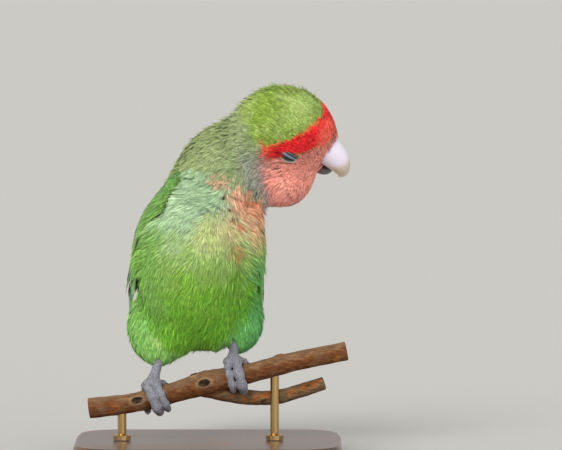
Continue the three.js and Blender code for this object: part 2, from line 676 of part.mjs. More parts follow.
// A toe with a swelling at each joint. The toe starts inside the sole and ends where its claw grows.
function toeSolid(foot, { turn, aside, half }, clear = 0) {
  const STATIONS = 7;
  const points = [...Array(STATIONS)].map((_, n) => {
    const u = n / (STATIONS - 1);
    return roundPerch(foot, THREE.MathUtils.lerp(...turn, u), THREE.MathUtils.lerp(...aside, u), half + GAP);
  });
  const pads = (u) => half * (1 + 0.09 * Math.cos(u * 6 * Math.PI)) * (u > 0.86 ? 1 - (u - 0.86) * 2.6 : 1);
  return loft({
    curve: curveThrough(points),
    side: perchFrame(perchAlong(foot.along)).along,
    wide: (u) => pads(u),
    tall: (u) => pads(u) * 0.95,
    sides: 6,
    rings: 8,
    clear,
  });
}

// A claw carries on round the branch from its toe's end and points at the bark.
function clawSolid(foot, { turn, aside, half }, clear = 0) {
  const on = Math.sign(turn[1]);
  const STATIONS = 4;
  const points = [...Array(STATIONS)].map((_, n) => {
    const u = n / (STATIONS - 1);
    const height = THREE.MathUtils.lerp(half + 0.5, CLAW.tip + GAP + 0.15, u ** 1.5);
    const aheadBy = (aside[1] - aside[0]) * 0.1 * u;
    return roundPerch(foot, turn[1] + on * (CLAW.turn * u - 12), aside[1] + aheadBy, height);
  });
  const size = profile([[0, CLAW.half], [0.4, CLAW.half * 0.8], [1, CLAW.tip]]);
  return loft({
    curve: curveThrough(points),
    side: perchFrame(perchAlong(foot.along)).along,
    wide: (u) => size(u) * 0.8,
    tall: size,
    sides: 6,
    rings: 4,
    clear,
  });
}

// Each leg is one piece from the ankle to the toes' ends, cut to the branch, the thigh and its own claws.
for (const [name, foot] of [["right", FOOT_RIGHT], ["left", FOOT_LEFT]]) {
  const ankle = new THREE.Vector3(...foot.ankle);
  const sole = roundPerch(foot, 4, 0, TARSUS.seat);
  const middle = ankle.clone().lerp(sole, 0.5).add(new THREE.Vector3(0, 0.8, 0));
  const shin = loft({
    curve: curveThrough([ankle, middle, sole]),
    side: new THREE.Vector3(1, 0, 0),
    wide: profile(TARSUS.half),
    tall: profile(TARSUS.half),
    sides: 8,
    rings: 5,
  });
  const knuckle = solidOf(new THREE.IcosahedronGeometry(1, 1).scale(...KNUCKLE.half)
    .translate(...roundPerch(foot, KNUCKLE.turn, 0, KNUCKLE.seat).toArray()));
  const toes = foot.toes.map((toe) => toeSolid(foot, toe));
  let leg = joined([shin, knuckle, ...toes]).subtract(perchGrown)
    .subtract(thighSolid(foot, GAP)).subtract(torsoGrown);
  for (const toe of foot.toes) {
    const claw = clawSolid(foot, toe).subtract(perchGrown);
    leg = leg.subtract(clawSolid(foot, toe, GAP));
    add(`claw_${name}_${toe.name}`, claw, MATERIALS.claw);
  }
  add("leg_" + name, leg, MATERIALS.skin);
  add("thigh_" + name, thighSolid(foot).subtract(torsoGrown), MATERIALS.paleGreen);
}

add("neck", neck, MATERIALS.crownGreen);
add("torso", torso, MATERIALS.green);

// The stand: a base with rounded corners and bevelled edges, and two rods with collars.
const plan = new THREE.Shape();
const [halfLong, halfDeep] = [BASE.long / 2 - BASE.bevel, BASE.deep / 2 - BASE.bevel];
plan.moveTo(halfLong - BASE.corner, -halfDeep);
plan.absarc(halfLong - BASE.corner, BASE.corner - halfDeep, BASE.corner, -Math.PI / 2, 0);
plan.absarc(halfLong - BASE.corner, halfDeep - BASE.corner, BASE.corner, 0, Math.PI / 2);
plan.absarc(BASE.corner - halfLong, halfDeep - BASE.corner, BASE.corner, Math.PI / 2, Math.PI);
plan.absarc(BASE.corner - halfLong, BASE.corner - halfDeep, BASE.corner, Math.PI, Math.PI * 1.5);
const baseBlank = new THREE.ExtrudeGeometry(plan, {
  depth: BASE.thick - 2 * BASE.bevel, bevelThickness: BASE.bevel, bevelSize: BASE.bevel, bevelSegments: 1,
  curveSegments: 4,
}).translate(0, 0, BASE.bevel);
add("stand_base", solidOf(baseBlank), MATERIALS.wood);

ROD.at.forEach((x, n) => {
  const under = perchCurve.getPoint(perchAlong(x));
  const rodTop = under.z;
  const outline = [[0, 0], [ROD.collarRadius, 0], [ROD.collarRadius, ROD.collarHeight],
    [ROD.radius, ROD.collarHeight + 0.6], [ROD.radius, rodTop - BASE.thick], [0, rodTop - BASE.thick]];
  const rod = solidOf(new THREE.LatheGeometry(outline.map(([r, z]) => new THREE.Vector2(r, z)), 12)
    .rotateX(Math.PI / 2).translate(under.x, under.y, BASE.thick + GAP));
  add(`stand_rod_${n + 1}`, rod.subtract(perchGrown), MATERIALS.brass);
});

export default part;
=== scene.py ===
"""A peach-faced lovebird at life size, dozing on a cut length of branch held by a small display stand.

Sizes are in millimetres and become metres where a mesh is made. The bird faces -Y and its left side is at +X.
"""

import bpy
import numpy as np
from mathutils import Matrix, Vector


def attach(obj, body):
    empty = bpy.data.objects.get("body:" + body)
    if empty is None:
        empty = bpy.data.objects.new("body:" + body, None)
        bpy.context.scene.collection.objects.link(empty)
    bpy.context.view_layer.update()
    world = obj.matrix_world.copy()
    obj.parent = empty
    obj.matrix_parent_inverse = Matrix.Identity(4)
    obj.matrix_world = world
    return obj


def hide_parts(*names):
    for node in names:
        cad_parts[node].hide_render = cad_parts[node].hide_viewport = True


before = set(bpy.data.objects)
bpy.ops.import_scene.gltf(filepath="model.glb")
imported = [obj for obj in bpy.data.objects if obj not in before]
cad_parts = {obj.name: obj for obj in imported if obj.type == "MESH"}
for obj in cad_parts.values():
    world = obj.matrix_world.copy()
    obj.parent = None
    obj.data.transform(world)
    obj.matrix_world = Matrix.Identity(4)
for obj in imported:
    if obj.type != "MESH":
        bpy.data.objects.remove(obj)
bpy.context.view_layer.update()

# The skin, one closed surface from the cere to the tail's root and the ankles. It lies under the feathers by the
# coat's depth and carries the same markings, a little darkened as painted shade for that depth, so that no gap
# between two feathers shows a strange colour.


def frame_of(at, heading, pitch, roll):
    """A frame's origin and its forward, up and right axes as rows. Heading turns forward from -Y towards +X,
    pitch lifts it, and roll tips the top to the right."""
    heading, pitch, roll = np.radians([heading, pitch, roll])
    level = np.array([np.sin(heading), -np.cos(heading), 0.0])
    top = np.array([0.0, 0.0, 1.0])
    forward = level * np.cos(pitch) + top * np.sin(pitch)
    right = np.cross(level, top)
    up = np.cross(right, forward)
    tipped = up * np.cos(roll) + right * np.sin(roll)
    return np.array(at, float), np.stack([forward, tipped, right * np.cos(roll) - up * np.sin(roll)])


def room(place, local):
    """Points of a frame in the room: the origin plus forward, up and right times their axes."""
    return place[0] + np.asarray(local, float) @ place[1]


def local_to(place, points):
    """Points of the room as forward, up and right in a frame."""
    return (points - place[0]) @ place[1].T


TRUNK = frame_of([-1.6, 6, 66], 3, 31, -10)
HEAD = frame_of([27.7, -8, 116.8], 70, -14, 38)
NECK = frame_of([6.5, 0, 105.5], 90, 45, 0)
TORSO_VOLUMES = [
    (TRUNK, [0, 0, 2.7], [37, 25, 20.7]),
    (TRUNK, [19, 8, 1.4], [17, 16, 18.2]),
    (TRUNK, [12, 13, 8], [17, 15.5, 13.5]),
    (TRUNK, [12, 16.5, 0], [16, 12.5, 14]),
    (TRUNK, [-20, 3, 0], [18.5, 17.5, 19.5]),
]
NECK_VOLUMES = [
    (NECK, [-1.5, 0.6, 0], [22, 14.9, 15.8]),
    (NECK, [0, -7, 3], [17, 11.5, 14]),
]
HEAD_VOLUMES = [
    (HEAD, [-2, 1.2, 0], [16.8, 17.3, 16.5]),
    (HEAD, [5.5, 7, 0], [11.5, 11.5, 11.5]),
    (HEAD, [8.6, 1.5, 0], [11, 10.5, 8.1]),
    (HEAD, [2, -13, 6], [10.5, 11.5, 11]),
]
THIGHS = {
    "right": ([[-13, 13, 62], [-20, 7.5, 49], [-17.5, 1.8, 37.6]], [[0, 7], [0.45, 8.7], [0.82, 7.3], [1, 2.6]]),
    "left": ([[7, 11, 57], [11, 7, 50.5], [10.6, 3.0, 42]], [[0, 7], [0.4, 8.6], [0.8, 6.4], [1, 2.6]]),
}
THIGH_BALLS = 9
VOLUME_MELT = 6
GROUP_MELT = 4

# The folded wings' patch, wrapped round the trunk: along runs from the bend, 0, to the tip, 1, and across from the
# lower edge, 0, to the upper one, 1. Each place along is an arc of an ellipse, between two angles in degrees.
WING_FRONT, WING_LENGTH = 30, 77


def profile(pairs):
    """A smooth curve through [place, size] pairs. Between two pairs it is a cubic whose slope at each pair is that
    of the line between the pair's neighbours."""
    places, sizes = np.array(pairs, float).T
    inner = (sizes[2:] - sizes[:-2]) / (places[2:] - places[:-2])
    slopes = np.concatenate([
        [(sizes[1] - sizes[0]) / (places[1] - places[0])],
        inner,
        [(sizes[-1] - sizes[-2]) / (places[-1] - places[-2])],
    ])

    def at(place):
        n = np.clip(np.searchsorted(places, place, side="right") - 1, 0, len(places) - 2)
        span = places[n + 1] - places[n]
        t = np.clip((place - places[n]) / span, 0, 1)
        start = sizes[n] * (2 * t**3 - 3 * t**2 + 1) + slopes[n] * span * (t**3 - 2 * t**2 + t)
        return start + sizes[n + 1] * (3 * t**2 - 2 * t**3) + slopes[n + 1] * span * (t**3 - t**2)

    return at


def curve_through(points, shares):
    """Places and unit tangents on the centripetal Catmull-Rom curve through some points. Each piece of the curve is
    a cubic whose end slopes come from the roots of the distances between the points."""
    points = np.array(points, float)
    padded = np.vstack([2 * points[0] - points[1], points, 2 * points[-1] - points[-2]])
    steps = np.sqrt(np.linalg.norm(np.diff(padded, axis=0), axis=1))[:, None]
    spans = np.asarray(shares, float) * (len(points) - 1)
    n = np.clip(spans.astype(int), 0, len(points) - 2)
    t = (spans - n)[:, None]
    a, b, c, d = (padded[n + k] for k in range(4))
    before, span, after = steps[n], steps[n + 1], steps[n + 2]
    start = ((b - a) / before - (c - a) / (before + span) + (c - b) / span) * span
    end = ((c - b) / span - (d - b) / (span + after) + (d - c) / after) * span
    place = (2 * t**3 - 3 * t**2 + 1) * b + (t**3 - 2 * t**2 + t) * start
    place += (3 * t**2 - 2 * t**3) * c + (t**3 - t**2) * end
    along = (6 * t**2 - 6 * t) * (b - c) + (3 * t**2 - 4 * t + 1) * start + (3 * t**2 - 2 * t) * end
    return place, along / np.linalg.norm(along, axis=1, keepdims=True)


def off_ellipsoid(points, volume):
    """How far points lie outside an ellipsoid, near enough. With k the length of the place divided by the half
    sizes and g the length of the place divided by their squares, it is k (k - 1) / g."""
    place, at, half = volume
    local = local_to(place, points) - at
    k = np.linalg.norm(local / half, axis=-1)
    return k * (k - 1) / np.maximum(np.linalg.norm(local / np.square(half), axis=-1), 1e-6)


def melt(fields, reach):
    """Several distances melted into one: the smaller of two, less the square of their closeness."""
    whole = fields[0]
    for field in fields[1:]:
        close = np.maximum(reach - np.abs(whole - field), 0)
        whole = np.minimum(whole, field) - close**2 / (4 * reach)
    return whole


WING_ARC = {name: profile(pairs) for name, pairs in {
    "low": [[0, -4], [0.2, -20], [0.45, -26], [0.75, -16], [1, -6]],
    "high": [[0, 50], [0.25, 62], [0.55, 64], [0.8, 46], [1, 22]],
    "right": [[0, 18], [0.15, 22.8], [0.42, 25], [0.75, 25.4], [1, 24.4]],
    "left": [[0, 14.2], [0.15, 17.9], [0.42, 19.4], [0.75, 19.2], [1, 18.2]],
    "tall": [[0, 24], [0.3, 23.5], [0.6, 19.5], [1, 12]],
    "raised": [[0, 5], [0.3, 3], [0.6, 2.5], [1, 3.6]],
}.items()}
PAD_END, PAD_TOP, PAD_FOOT = 0.56, 0.3, -4.0
FLANK_TOP, FLANK_REACH = 2.8, 4


def on_wing(along, across, side, height=0.0):
    """Points of a wing's patch, or a height off it: in the trunk's frame, the arc's half width times the angle's
    cosine out, and its half height times the sine up from its raised centre. Side is 1 on the right."""
    angle = np.radians(WING_ARC["low"](along) + (WING_ARC["high"](along) - WING_ARC["low"](along)) * across)
    out = (WING_ARC["right" if side > 0 else "left"](along) + height) * np.cos(angle)
    up = WING_ARC["raised"](along) + (WING_ARC["tall"](along) + height) * np.sin(angle)
    back = WING_LENGTH * along + 0 * up
    return room(TRUNK, np.stack([WING_FRONT - back, up, out * side], -1))


def wing_place(points, side):
    """Where points lie on a wing's patch: along, the angle round the trunk in degrees, and the height off it. The
    height is the share of the arc's size that a point is out by, divided by how fast that share grows."""
    f, u, r = np.moveaxis(local_to(TRUNK, points), -1, 0)
    along = (WING_FRONT - f) / WING_LENGTH
    near = np.clip(along, 0, 1)
    tall, out = WING_ARC["tall"](near), WING_ARC["right" if side > 0 else "left"](near)
    x, y = side * r / out, (u - WING_ARC["raised"](near)) / tall
    share = np.maximum(np.hypot(x, y), 1e-6)
    return along, np.degrees(np.arctan2(y, x)), (share - 1) * share / np.hypot(x / out, y / tall)


def off_wing(points, side, top, wider=0):
    """How far points lie outside the padded part of a wing, whose upper surface stands a height off the patch: the
    furthest out of its top, its lower and upper edges and its two ends, rounded together. It may be made wider by
    some degrees at its lower edge."""
    along, angle, height = wing_place(points, side)
    near = np.clip(along, 0, 1)
    walls = [height - top, (WING_ARC["low"](near) + 4 - wider - angle) * 0.35,
             (angle - WING_ARC["high"](near) + 3) * 0.35, -along * WING_LENGTH, (along - PAD_END) * WING_LENGTH]
    return -melt([-wall for wall in walls], 2.5)


def thigh_balls(side):
    """A thigh as a row of balls along its curve: pairs of a centre and a half size."""
    line, half = THIGHS[side]
    shares = np.linspace(0.05, 0.94, THIGH_BALLS)
    return list(zip(curve_through(line, shares)[0], profile(half)(shares)))


def off_thigh(points, side):
    """How far points lie outside a thigh."""
    return melt([np.linalg.norm(points - centre, axis=-1) - half for centre, half in thigh_balls(side)], 2.5)


def off_groups(points):
    """How far points lie outside the plumage of the head, neck, torso and the two thighs, one row each."""
    groups = [melt([off_ellipsoid(points, v) for v in volumes], VOLUME_MELT)
              for volumes in (HEAD_VOLUMES, NECK_VOLUMES, TORSO_VOLUMES)]
    return np.stack(groups + [off_thigh(points, side) for side in THIGHS])


def under_quills(points, side):
    """How far points lie inside the space that is kept clear under a wing's long quills, behind its padding."""
    along, angle, height = wing_place(points, side)
    near = np.clip(along, 0, 1)
    return melt([(along - 0.5) * WING_LENGTH, (1.05 - along) * WING_LENGTH, (WING_ARC["high"](near) - angle) * 0.35,
                 (angle - WING_ARC["low"](near) + 3) * 0.35, height + 3.0], 2.5)


def hollowed(points, whole):
    """The distance from a whole less the space under both wings' quills, from that of the whole."""
    return -melt([-whole, -under_quills(points, 1), -under_quills(points, -1)], 2)


def off_flesh(points):
    """How far points lie outside the body as the solids have it: its groups and the wings' padding, barely melted
    into each other, less the space under the quills."""
    pads = [off_wing(points, side, PAD_TOP) for side in (1, -1)]
    return hollowed(points, melt([*off_groups(points), *pads], GROUP_MELT))


def off_trunk(points):
    """How far points lie outside the plumage without the wings. Its feathers fill the creases, so the groups melt
    into each other over a longer reach, longest between the thighs and the belly."""
    head, neck, torso, right, left = off_groups(points)
    reach = 13 - 11 * smooth(8, 15, np.abs(local_to(TRUNK, points)[..., 2]))
    return hollowed(points, melt([melt([head, neck, torso], 7), np.minimum(right, left)], reach))


def off_coat(points):
    """How far points lie outside the plumage and the wings' padding."""
    return melt([off_trunk(points), *(off_wing(points, side, PAD_TOP) for side in (1, -1))], 2.5)


def off_flank(points):
    """How far points lie outside the plumage where its flank feathers climb over the wings' lower coverts."""
    return melt([off_trunk(points), *(off_wing(points, side, FLANK_TOP, FLANK_REACH) for side in (1, -1))], 5)


def owners(points):
    """The groups' distances as they share out the feathers between them. The breast's feathers reach up over the
    front of the neck's volume, to the hood's real edge."""
    shares = off_groups(points)
    shares[2] -= 6.5 * smooth(0, 15, local_to(NECK, points)[..., 2])
    return shares


def outward(points, field=off_coat):
    """A surface's outward direction at some points, and how fast the distance grows that way, from the differences
    of the distance over a short step along each axis."""
    step = 0.05
    moved = points[..., None, :] + np.concatenate([np.eye(3), -np.eye(3)]) * step
    values = field(moved)
    slope = (values[..., :3] - values[..., 3:]) / (2 * step)
    steep = np.linalg.norm(slope, axis=-1, keepdims=True)
    return slope / np.maximum(steep, 1e-6), steep


def settled(points, level, rounds=4, field=off_coat):
    """Points moved straight in or out until their distance from a surface is the given level."""
    for _ in range(rounds):
        normal, steep = outward(points, field)
        points = points - normal * np.clip(
            ((field(points) - level)[..., None] / np.maximum(steep, 0.3)), -3, 3)
    return points


def smooth(low, high, value):
    """A step from 0 to 1 between low and high, with level ends."""
    t = np.clip((value - low) / (high - low), 0, 1)
    return t * t * (3 - 2 * t)


def waves(points, length, seed):
    """Soft noise between about -1 and 1: the mean of seven sine waves of one length in random directions."""
    draw = np.random.default_rng(seed)
    ways = draw.normal(size=(7, 3))
    ways *= 2 * np.pi / (length * np.linalg.norm(ways, axis=1, keepdims=True)) * draw.uniform(0.7, 1.4, (7, 1))
    return np.sin(points @ ways.T + draw.uniform(0, 2 * np.pi, 7)).sum(-1) / 2.6


def linear(code):
    """A colour written as six hexadecimal digits, as linear light."""
    shares = np.array([int(code[k:k + 2], 16) for k in (0, 2, 4)]) / 255
    return np.where(shares < 0.04045, shares / 12.92, ((shares + 0.055) / 1.055) ** 2.4)


CROWN, CROWN_PALE_AND_HIGHLIGHT, CROWN_DEEP, NAPE = (linear(c) for c in ("90ac42", "b6c87c", "6a8c2c", "a2b06c"))
HOOD, HOOD_PALE, HOOD_DEEP, SHOULDER = (linear(c) for c in ("a0b07e", "bccba6", "84945e", "8fb050"))
BAND, BAND_PALE, BAND_RIM, LORE = (linear(c) for c in ("ee2028", "ff8870", "dfa040", "e4948c"))
CHEEK, CHEEK_LOW, MAUVE, GREY = (linear(c) for c in ("ffae9e", "ea9a8c", "a89494", "9c9e92"))
MINT, MINT_PALE, PEACH, PEACH_DEEP_AND_SHADE = (linear(c) for c in ("a8c49c", "c2ddb4", "eca287", "c67650"))
PALE_GREEN, SPRING, LEAF, LEAF_DEEP = (linear(c) for c in ("aac482", "98bc62", "86ba3e", "7cc034"))
CREAM, BEIGE_AND_SHADE, FLANK, TURQUOISE = (linear(c) for c in ("c4cc84", "ccb68c", "88bc58", "4ca662"))
BACK, RUMP, THIGH = (linear(c) for c in ("6fa53c", "3a8fc0", "94cc70"))
THROAT = np.array([12.0, -12.0, 99.0])


def blend(colour, other, share):
    """A colour, or one for each row, mixed with another by a share for each row."""
    return colour + (other - colour) * share[..., None]


def painted(colour, *layers):
    """A colour with other colours laid over it in turn, each by its share."""
    for other, share in layers:
        colour = blend(colour, other, share)
    return colour


def patch_at(x, z, centre, half, tilt):
    """How much a place seen from the front lies in a soft oval patch: 1 in its middle, 0.5 on its outline."""
    turn = np.radians(tilt)
    dx, dz = x - centre[0], z - centre[1]
    along, across = dx * np.cos(turn) + dz * np.sin(turn), dz * np.cos(turn) - dx * np.sin(turn)
    return smooth(1.5, 0.5, np.hypot(along / half[0], across / half[1]))


def head_markings(points, uneven, fine):
    """The head's colours: a yellowish green crown down to a slanting line above the eye, a red band from behind the
    eye over the forehead, salmon cheeks, and a grey and mauve zone between the cheeks and the hood."""
    f, u, r = np.moveaxis(local_to(HEAD, points), -1, 0)
    flecks = waves(points * [1, 1, 1.6], 2.3, 8)
    crown = painted(
        CROWN,
        (CROWN_PALE_AND_HIGHLIGHT, smooth(0.0, 1.6, uneven + 0.5 * flecks) * 0.5),
        # Paler along the top of the crown's front: a painted highlight of the light from above.
        (CROWN_PALE_AND_HIGHLIGHT, smooth(11, 17, u + 0.8 * fine) * smooth(-4, 6, f) * 0.45),
        (CROWN_DEEP, smooth(0.1, 1.3, flecks - 0.3 * uneven) * 0.45),
        (NAPE, smooth(-7, -14, f + 1.5 * uneven) * 0.7),
    )
    hood = painted(
        HOOD,
        (HOOD_DEEP, smooth(0.1, 1.3, flecks + 0.5 * uneven) * 0.6),
        (HOOD_PALE, smooth(0.3, 1.5, waves(points, 6, 9)) * 0.35),
        (GREY, smooth(-15, -8, f + uneven) * smooth(9, 1, u - 0.2 * f) * 0.9),
        (MAUVE, smooth(-7, -2, f + 0.8 * uneven) * smooth(4, -4, u - 0.2 * f)),
    )
    cheek = painted(
        CHEEK,
        (CHEEK_LOW, smooth(-8, -16, u + uneven)),
        (CHEEK_LOW, smooth(7, 0, f + 0.8 * uneven) * 0.8),
    )
    red = painted(
        BAND,
        (BAND_PALE, smooth(14.5, 18.2, f + 0.4 * fine) * 0.75),
        (BAND_PALE, smooth(3.5, -2.5, f + 0.6 * fine) * 0.5),
    )
    above_eye = smooth(-2.2, 2.2, u - np.minimum(7.4 - 0.53 * f, 11.5) + 0.9 * uneven + 0.4 * fine)
    below_eye = smooth(4.6, 2.2, u - 0.15 * f + 0.3 * fine)
    low_edge = u - (3.7 + 0.16 * f) - 0.35 * uneven
    top_edge = -0.61 * f + 0.785 * u - 0.128 * np.abs(r) - 3.5 + 0.35 * fine + 0.3 * flecks + 1.4 * smooth(8, 14, u)
    return painted(
        hood,
        (crown, above_eye),
        (cheek, smooth(-3.4, 3.0, f + 0.1 * u + 0.9 * uneven + 0.4 * fine) * below_eye),
        (LORE, smooth(3.0, 0.5, np.abs(low_edge + 1.8)) * smooth(8.5, 12, f) * 0.8),
        (red, smooth(-0.9, 0.9, low_edge) * smooth(-3.2, -0.2, f + 0.5 * fine)),
        (BAND_RIM, smooth(0.7, 0.1, np.abs(top_edge)) * smooth(-2, 2, f) * smooth(1, 4, u) * 0.6),
        (crown, smooth(0.0, 0.9, top_edge) * above_eye),
    )


def most_of(x, z, patches):
    """The highest of several soft oval patches' shares. Each patch is a centre, half sizes, a tilt and a weight."""
    return np.max([patch_at(x, z, centre, half, tilt) * weight for centre, half, tilt, weight in patches], axis=0)


PEACH_PATCHES = [((14.6, 94.2), (8.6, 5.0), -48, 1), ((18, 87), (4.2, 9), 0, 0.85),
                 ((5.4, 101.8), (4.4, 2.4), -15, 0.95)]
# Deeper orange-brown patches: the first, on the breast's left side where it turns away, is painted shade; the others
# are orange-brown spots of the plumage.
PEACH_DEEP_AND_SHADE_PATCHES = [((16.5, 92), (3.2, 5.5), 15, 1), ((11, 85.8), (1.8, 1.4), 30, 1), ((15, 83), (1.8, 1.5), 20, 1),
                      ((10.5, 76.8), (2.4, 3.9), 10, 0.8)]


def trunk_markings(points, uneven, fine):
    """The trunk's colours: mint on the upper breast with soft peach and orange-brown patches below the throat, paling
    green down to the belly's deep leaf green in ragged bands, greener flanks and back, and a blue rump. A brown patch
    on the breast's left side, where it turns away, is painted shade."""
    f, u, _ = np.moveaxis(local_to(TRUNK, points), -1, 0)
    x, y, z = np.moveaxis(points, -1, 0)
    bands = waves(points * [0.45, 0.45, 1.2], 9, 12)
    height = z + 2.2 * uneven + 1.6 * bands
    front = smooth(8, -8, y + 2 * uneven)
    breast = painted(
        LEAF_DEEP,
        (LEAF, smooth(54, 66, height)),
        (LEAF, smooth(0.2, 1.4, bands) * 0.6),
        (SPRING, smooth(64, 73, height)),
        (PALE_GREEN, smooth(73, 82, height)),
        (MINT, smooth(81, 88, height - 0.1 * x)),
        (MINT_PALE, patch_at(x, z, (-12, 90.5), (6, 5), 25) * smooth(-0.8, 1, fine + uneven) * 0.9),
        (CREAM, patch_at(x, z, (1.5, 83), (6, 6.5), -20) * 0.75),
        (FLANK, smooth(-11, -19, x + 1.5 * uneven) * smooth(44, 60, z) * smooth(90, 80, z) * 0.85),
        (TURQUOISE, smooth(12.5, 18, x + 1.5 * uneven) * smooth(80, 68, z) * 0.75),
    )
    peach = most_of(x, z, PEACH_PATCHES) * (0.8 + 0.2 * np.clip(fine + uneven, -1, 1))
    # Orange-brown spots, and painted shade on the breast's left side.
    deep = most_of(x, z, PEACH_DEEP_AND_SHADE_PATCHES)
    return painted(
        BACK,
        (LEAF, smooth(0.2, 1.4, uneven) * 0.4),
        (breast, np.maximum(front, smooth(66, 54, z) * 0.8)),
        (RUMP, smooth(-15, -27, f + 2.5 * uneven + 1.6 * fine) * smooth(-5, 6, u + 1.5 * fine)),
        (BEIGE_AND_SHADE, patch_at(x, z, (10, 87), (6, 6.5), -30) * front * 0.7),
        (PEACH, peach * front * 0.95),
        (PEACH_DEEP_AND_SHADE, deep * front * smooth(-1.4, 0.6, fine) * 0.85),
    )


def markings(points):
    """The plumage's colour at each place: the head's, the hood's and the trunk's own markings, run into each other
    over a few millimetres where their volumes meet, and thighs of their own colour."""
    uneven = waves(points, 9, 5)
    fine = waves(points, 3.4, 6)
    off_head, off_neck, off_torso, *off_thighs = owners(points)
    f, u, _ = np.moveaxis(local_to(NECK, points), -1, 0)
    x, _, z = np.moveaxis(points, -1, 0)
    hood = painted(
        HOOD,
        (HOOD_PALE, smooth(0.2, 1.6, waves(points, 6, 9)) * 0.6),
        (HOOD_DEEP, smooth(0.1, 1.4, waves(points, 2.8, 10) + 0.6 * uneven) * 0.55),
        (NAPE, smooth(4, 12, u + uneven) * 0.5),
        (SHOULDER, smooth(-9, -18, f + 2 * uneven) * 0.85),
        (GREY, smooth(-2, -9, u - 0.2 * f + uneven) * smooth(-4, 4, f) * 0.85),
    )
    thigh = painted(
        THIGH,
        (TURQUOISE, smooth(4, 12, x) * 0.7),
        # Greyish beige where the right thigh meets the belly: painted shade in the crease.
        (BEIGE_AND_SHADE, patch_at(x, z, (-17, 45), (3, 3.5), 20) * 0.5),
    )
    on_thigh = smooth(1.5, -3.5, np.minimum(*off_thighs) - off_torso + uneven) * smooth(66, 56, z)
    return painted(
        hood,
        (trunk_markings(points, uneven, fine), smooth(-1.4, 1.0, off_neck - off_torso + 0.5 * fine)),
        (head_markings(points, uneven, fine),
         smooth(3.2, -2.2, off_head - np.minimum(off_neck, off_torso) + 0.5 * uneven)),
        (thigh, on_thigh * 0.8),
    )


def make_piece(name, points, faces, finish, colours=None, maps=None):
    """A mesh object that rides on the bird's one body. Points are in millimetres, faces rows of corner numbers in
    one array or several, colours a linear colour for each point, and maps named coordinates for each point."""
    mesh = bpy.data.meshes.new(name)
    faces = faces if isinstance(faces, list) else [faces]
    corners = np.concatenate([rows.ravel() for rows in faces]).astype(np.int32)
    sizes = np.concatenate([np.full(len(rows), rows.shape[1]) for rows in faces])
    mesh.vertices.add(len(points))
    mesh.loops.add(len(corners))
    mesh.polygons.add(len(sizes))
    mesh.vertices.foreach_set("co", (np.asarray(points) / 1000).astype(np.float32).ravel())
    mesh.loops.foreach_set("vertex_index", corners)
    mesh.polygons.foreach_set("loop_start", (np.cumsum(sizes) - sizes).astype(np.int32))
    mesh.update(calc_edges=True)
    mesh.shade_smooth()
    if colours is not None:
        layer = mesh.color_attributes.new("Markings", "FLOAT_COLOR", "POINT")
        rows = np.concatenate([colours, np.ones((len(points), 1))], axis=1)
        layer.data.foreach_set("color", rows.astype(np.float32).ravel())
    for title, places in (maps or {}).items():
        mesh.uv_layers.new(name=title).uv.foreach_set("vector", places[corners].astype(np.float32).ravel())
    mesh.materials.append(finish)
    piece = bpy.data.objects.new(name, mesh)
    bpy.context.scene.collection.objects.link(piece)
    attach(piece, "root")
    return piece


class Value:
    """A socket of a material's nodes. Sums, differences and products of such values and of numbers add Math
    nodes."""

    def __init__(self, tree, socket):
        self.tree = tree
        self.socket = socket

    def node(self, kind, settings=None, **inputs):
        """Adds a node of a type, with its settings first and then the values or links of its sockets. Names of
        sockets are written with underscores, and a number after the last one picks a socket by place."""
        made = self.tree.nodes.new("ShaderNode" + kind)
        for key, value in (settings or {}).items():
            if key == "stops":
                ramp = made.color_ramp.elements
                while len(ramp) < len(value):
                    ramp.new(0.5)
                for stop, (place, colour) in zip(ramp, value):
                    stop.position = place
                    stop.color = (*colour, 1)
            else:
                setattr(made, key, value)
        for key, value in inputs.items():
            socket = made.inputs[int(key[1:])] if key[1:].isdigit() else made.inputs[key.replace("_", " ")]
            if isinstance(value, Value):
                self.tree.links.new(value.socket, socket)
            else:
                socket.default_value = value
        return made

    def of(self, kind, output=0, settings=None, **inputs):
        """The value that a new node gives."""
        return Value(self.tree, self.node(kind, settings, **inputs).outputs[output])

    def maths(self, operation, first, second):
        return self.of("Math", settings={"operation": operation}, _0=first, _1=second)

    def alone(self, operation):
        """What a Math node of one value gives, such as its sine or its size."""
        return self.of("Math", settings={"operation": operation}, _0=self)

    def __add__(self, other):
        return self.maths("ADD", self, other)

    def __sub__(self, other):
        return self.maths("SUBTRACT", self, other)

    def __rsub__(self, other):
        return self.maths("SUBTRACT", other, self)

    def __mul__(self, other):
        return self.maths("MULTIPLY", self, other)

    __radd__ = __add__
    __rmul__ = __mul__


def finish_of(name, roughness, **constants):
    """A new material with one Principled shader, whose roughness and other constants are set on its own sockets.
    Gives the material, the shader, and the object's coordinates as the value that further nodes start from."""
    material = bpy.data.materials.new(name)
    material.use_nodes = True
    tree = material.node_tree
    shader = tree.nodes["Principled BSDF"]
    shader.inputs["Roughness"].default_value = roughness
    for key, value in constants.items():
        shader.inputs[key.replace("_", " ")].default_value = value
    start = Value(tree, tree.nodes.new("ShaderNodeTexCoord").outputs["Object"])
    return material, shader, start


def feed(shader, name, value):
    """Links a value to one of the shader's sockets."""
    value.tree.links.new(value.socket, shader.inputs[name])


def emboss(shader, height, strength, depth):
    """Feeds the shader's normal from a height, whose full step stands for a depth in millimetres."""
    feed(shader, "Normal", height.of("Bump", 0, Height=height, Strength=strength, Distance=depth / 1000))


def tinted(colour, share, other):
    """A colour or colour value mixed with another by a share."""
    colour, other = (c if isinstance(c, Value) else (*c, 1) for c in (colour, other))
    return share.of("Mix", 2, {"data_type": "RGBA"}, _0=share, _6=colour, _7=other)


def darkened(colour, share, by):
    """A colour value multiplied by another colour by a share."""
    return share.of("Mix", 2, {"data_type": "RGBA", "blend_type": "MULTIPLY"}, _0=share, _6=colour, _7=(*by, 1))


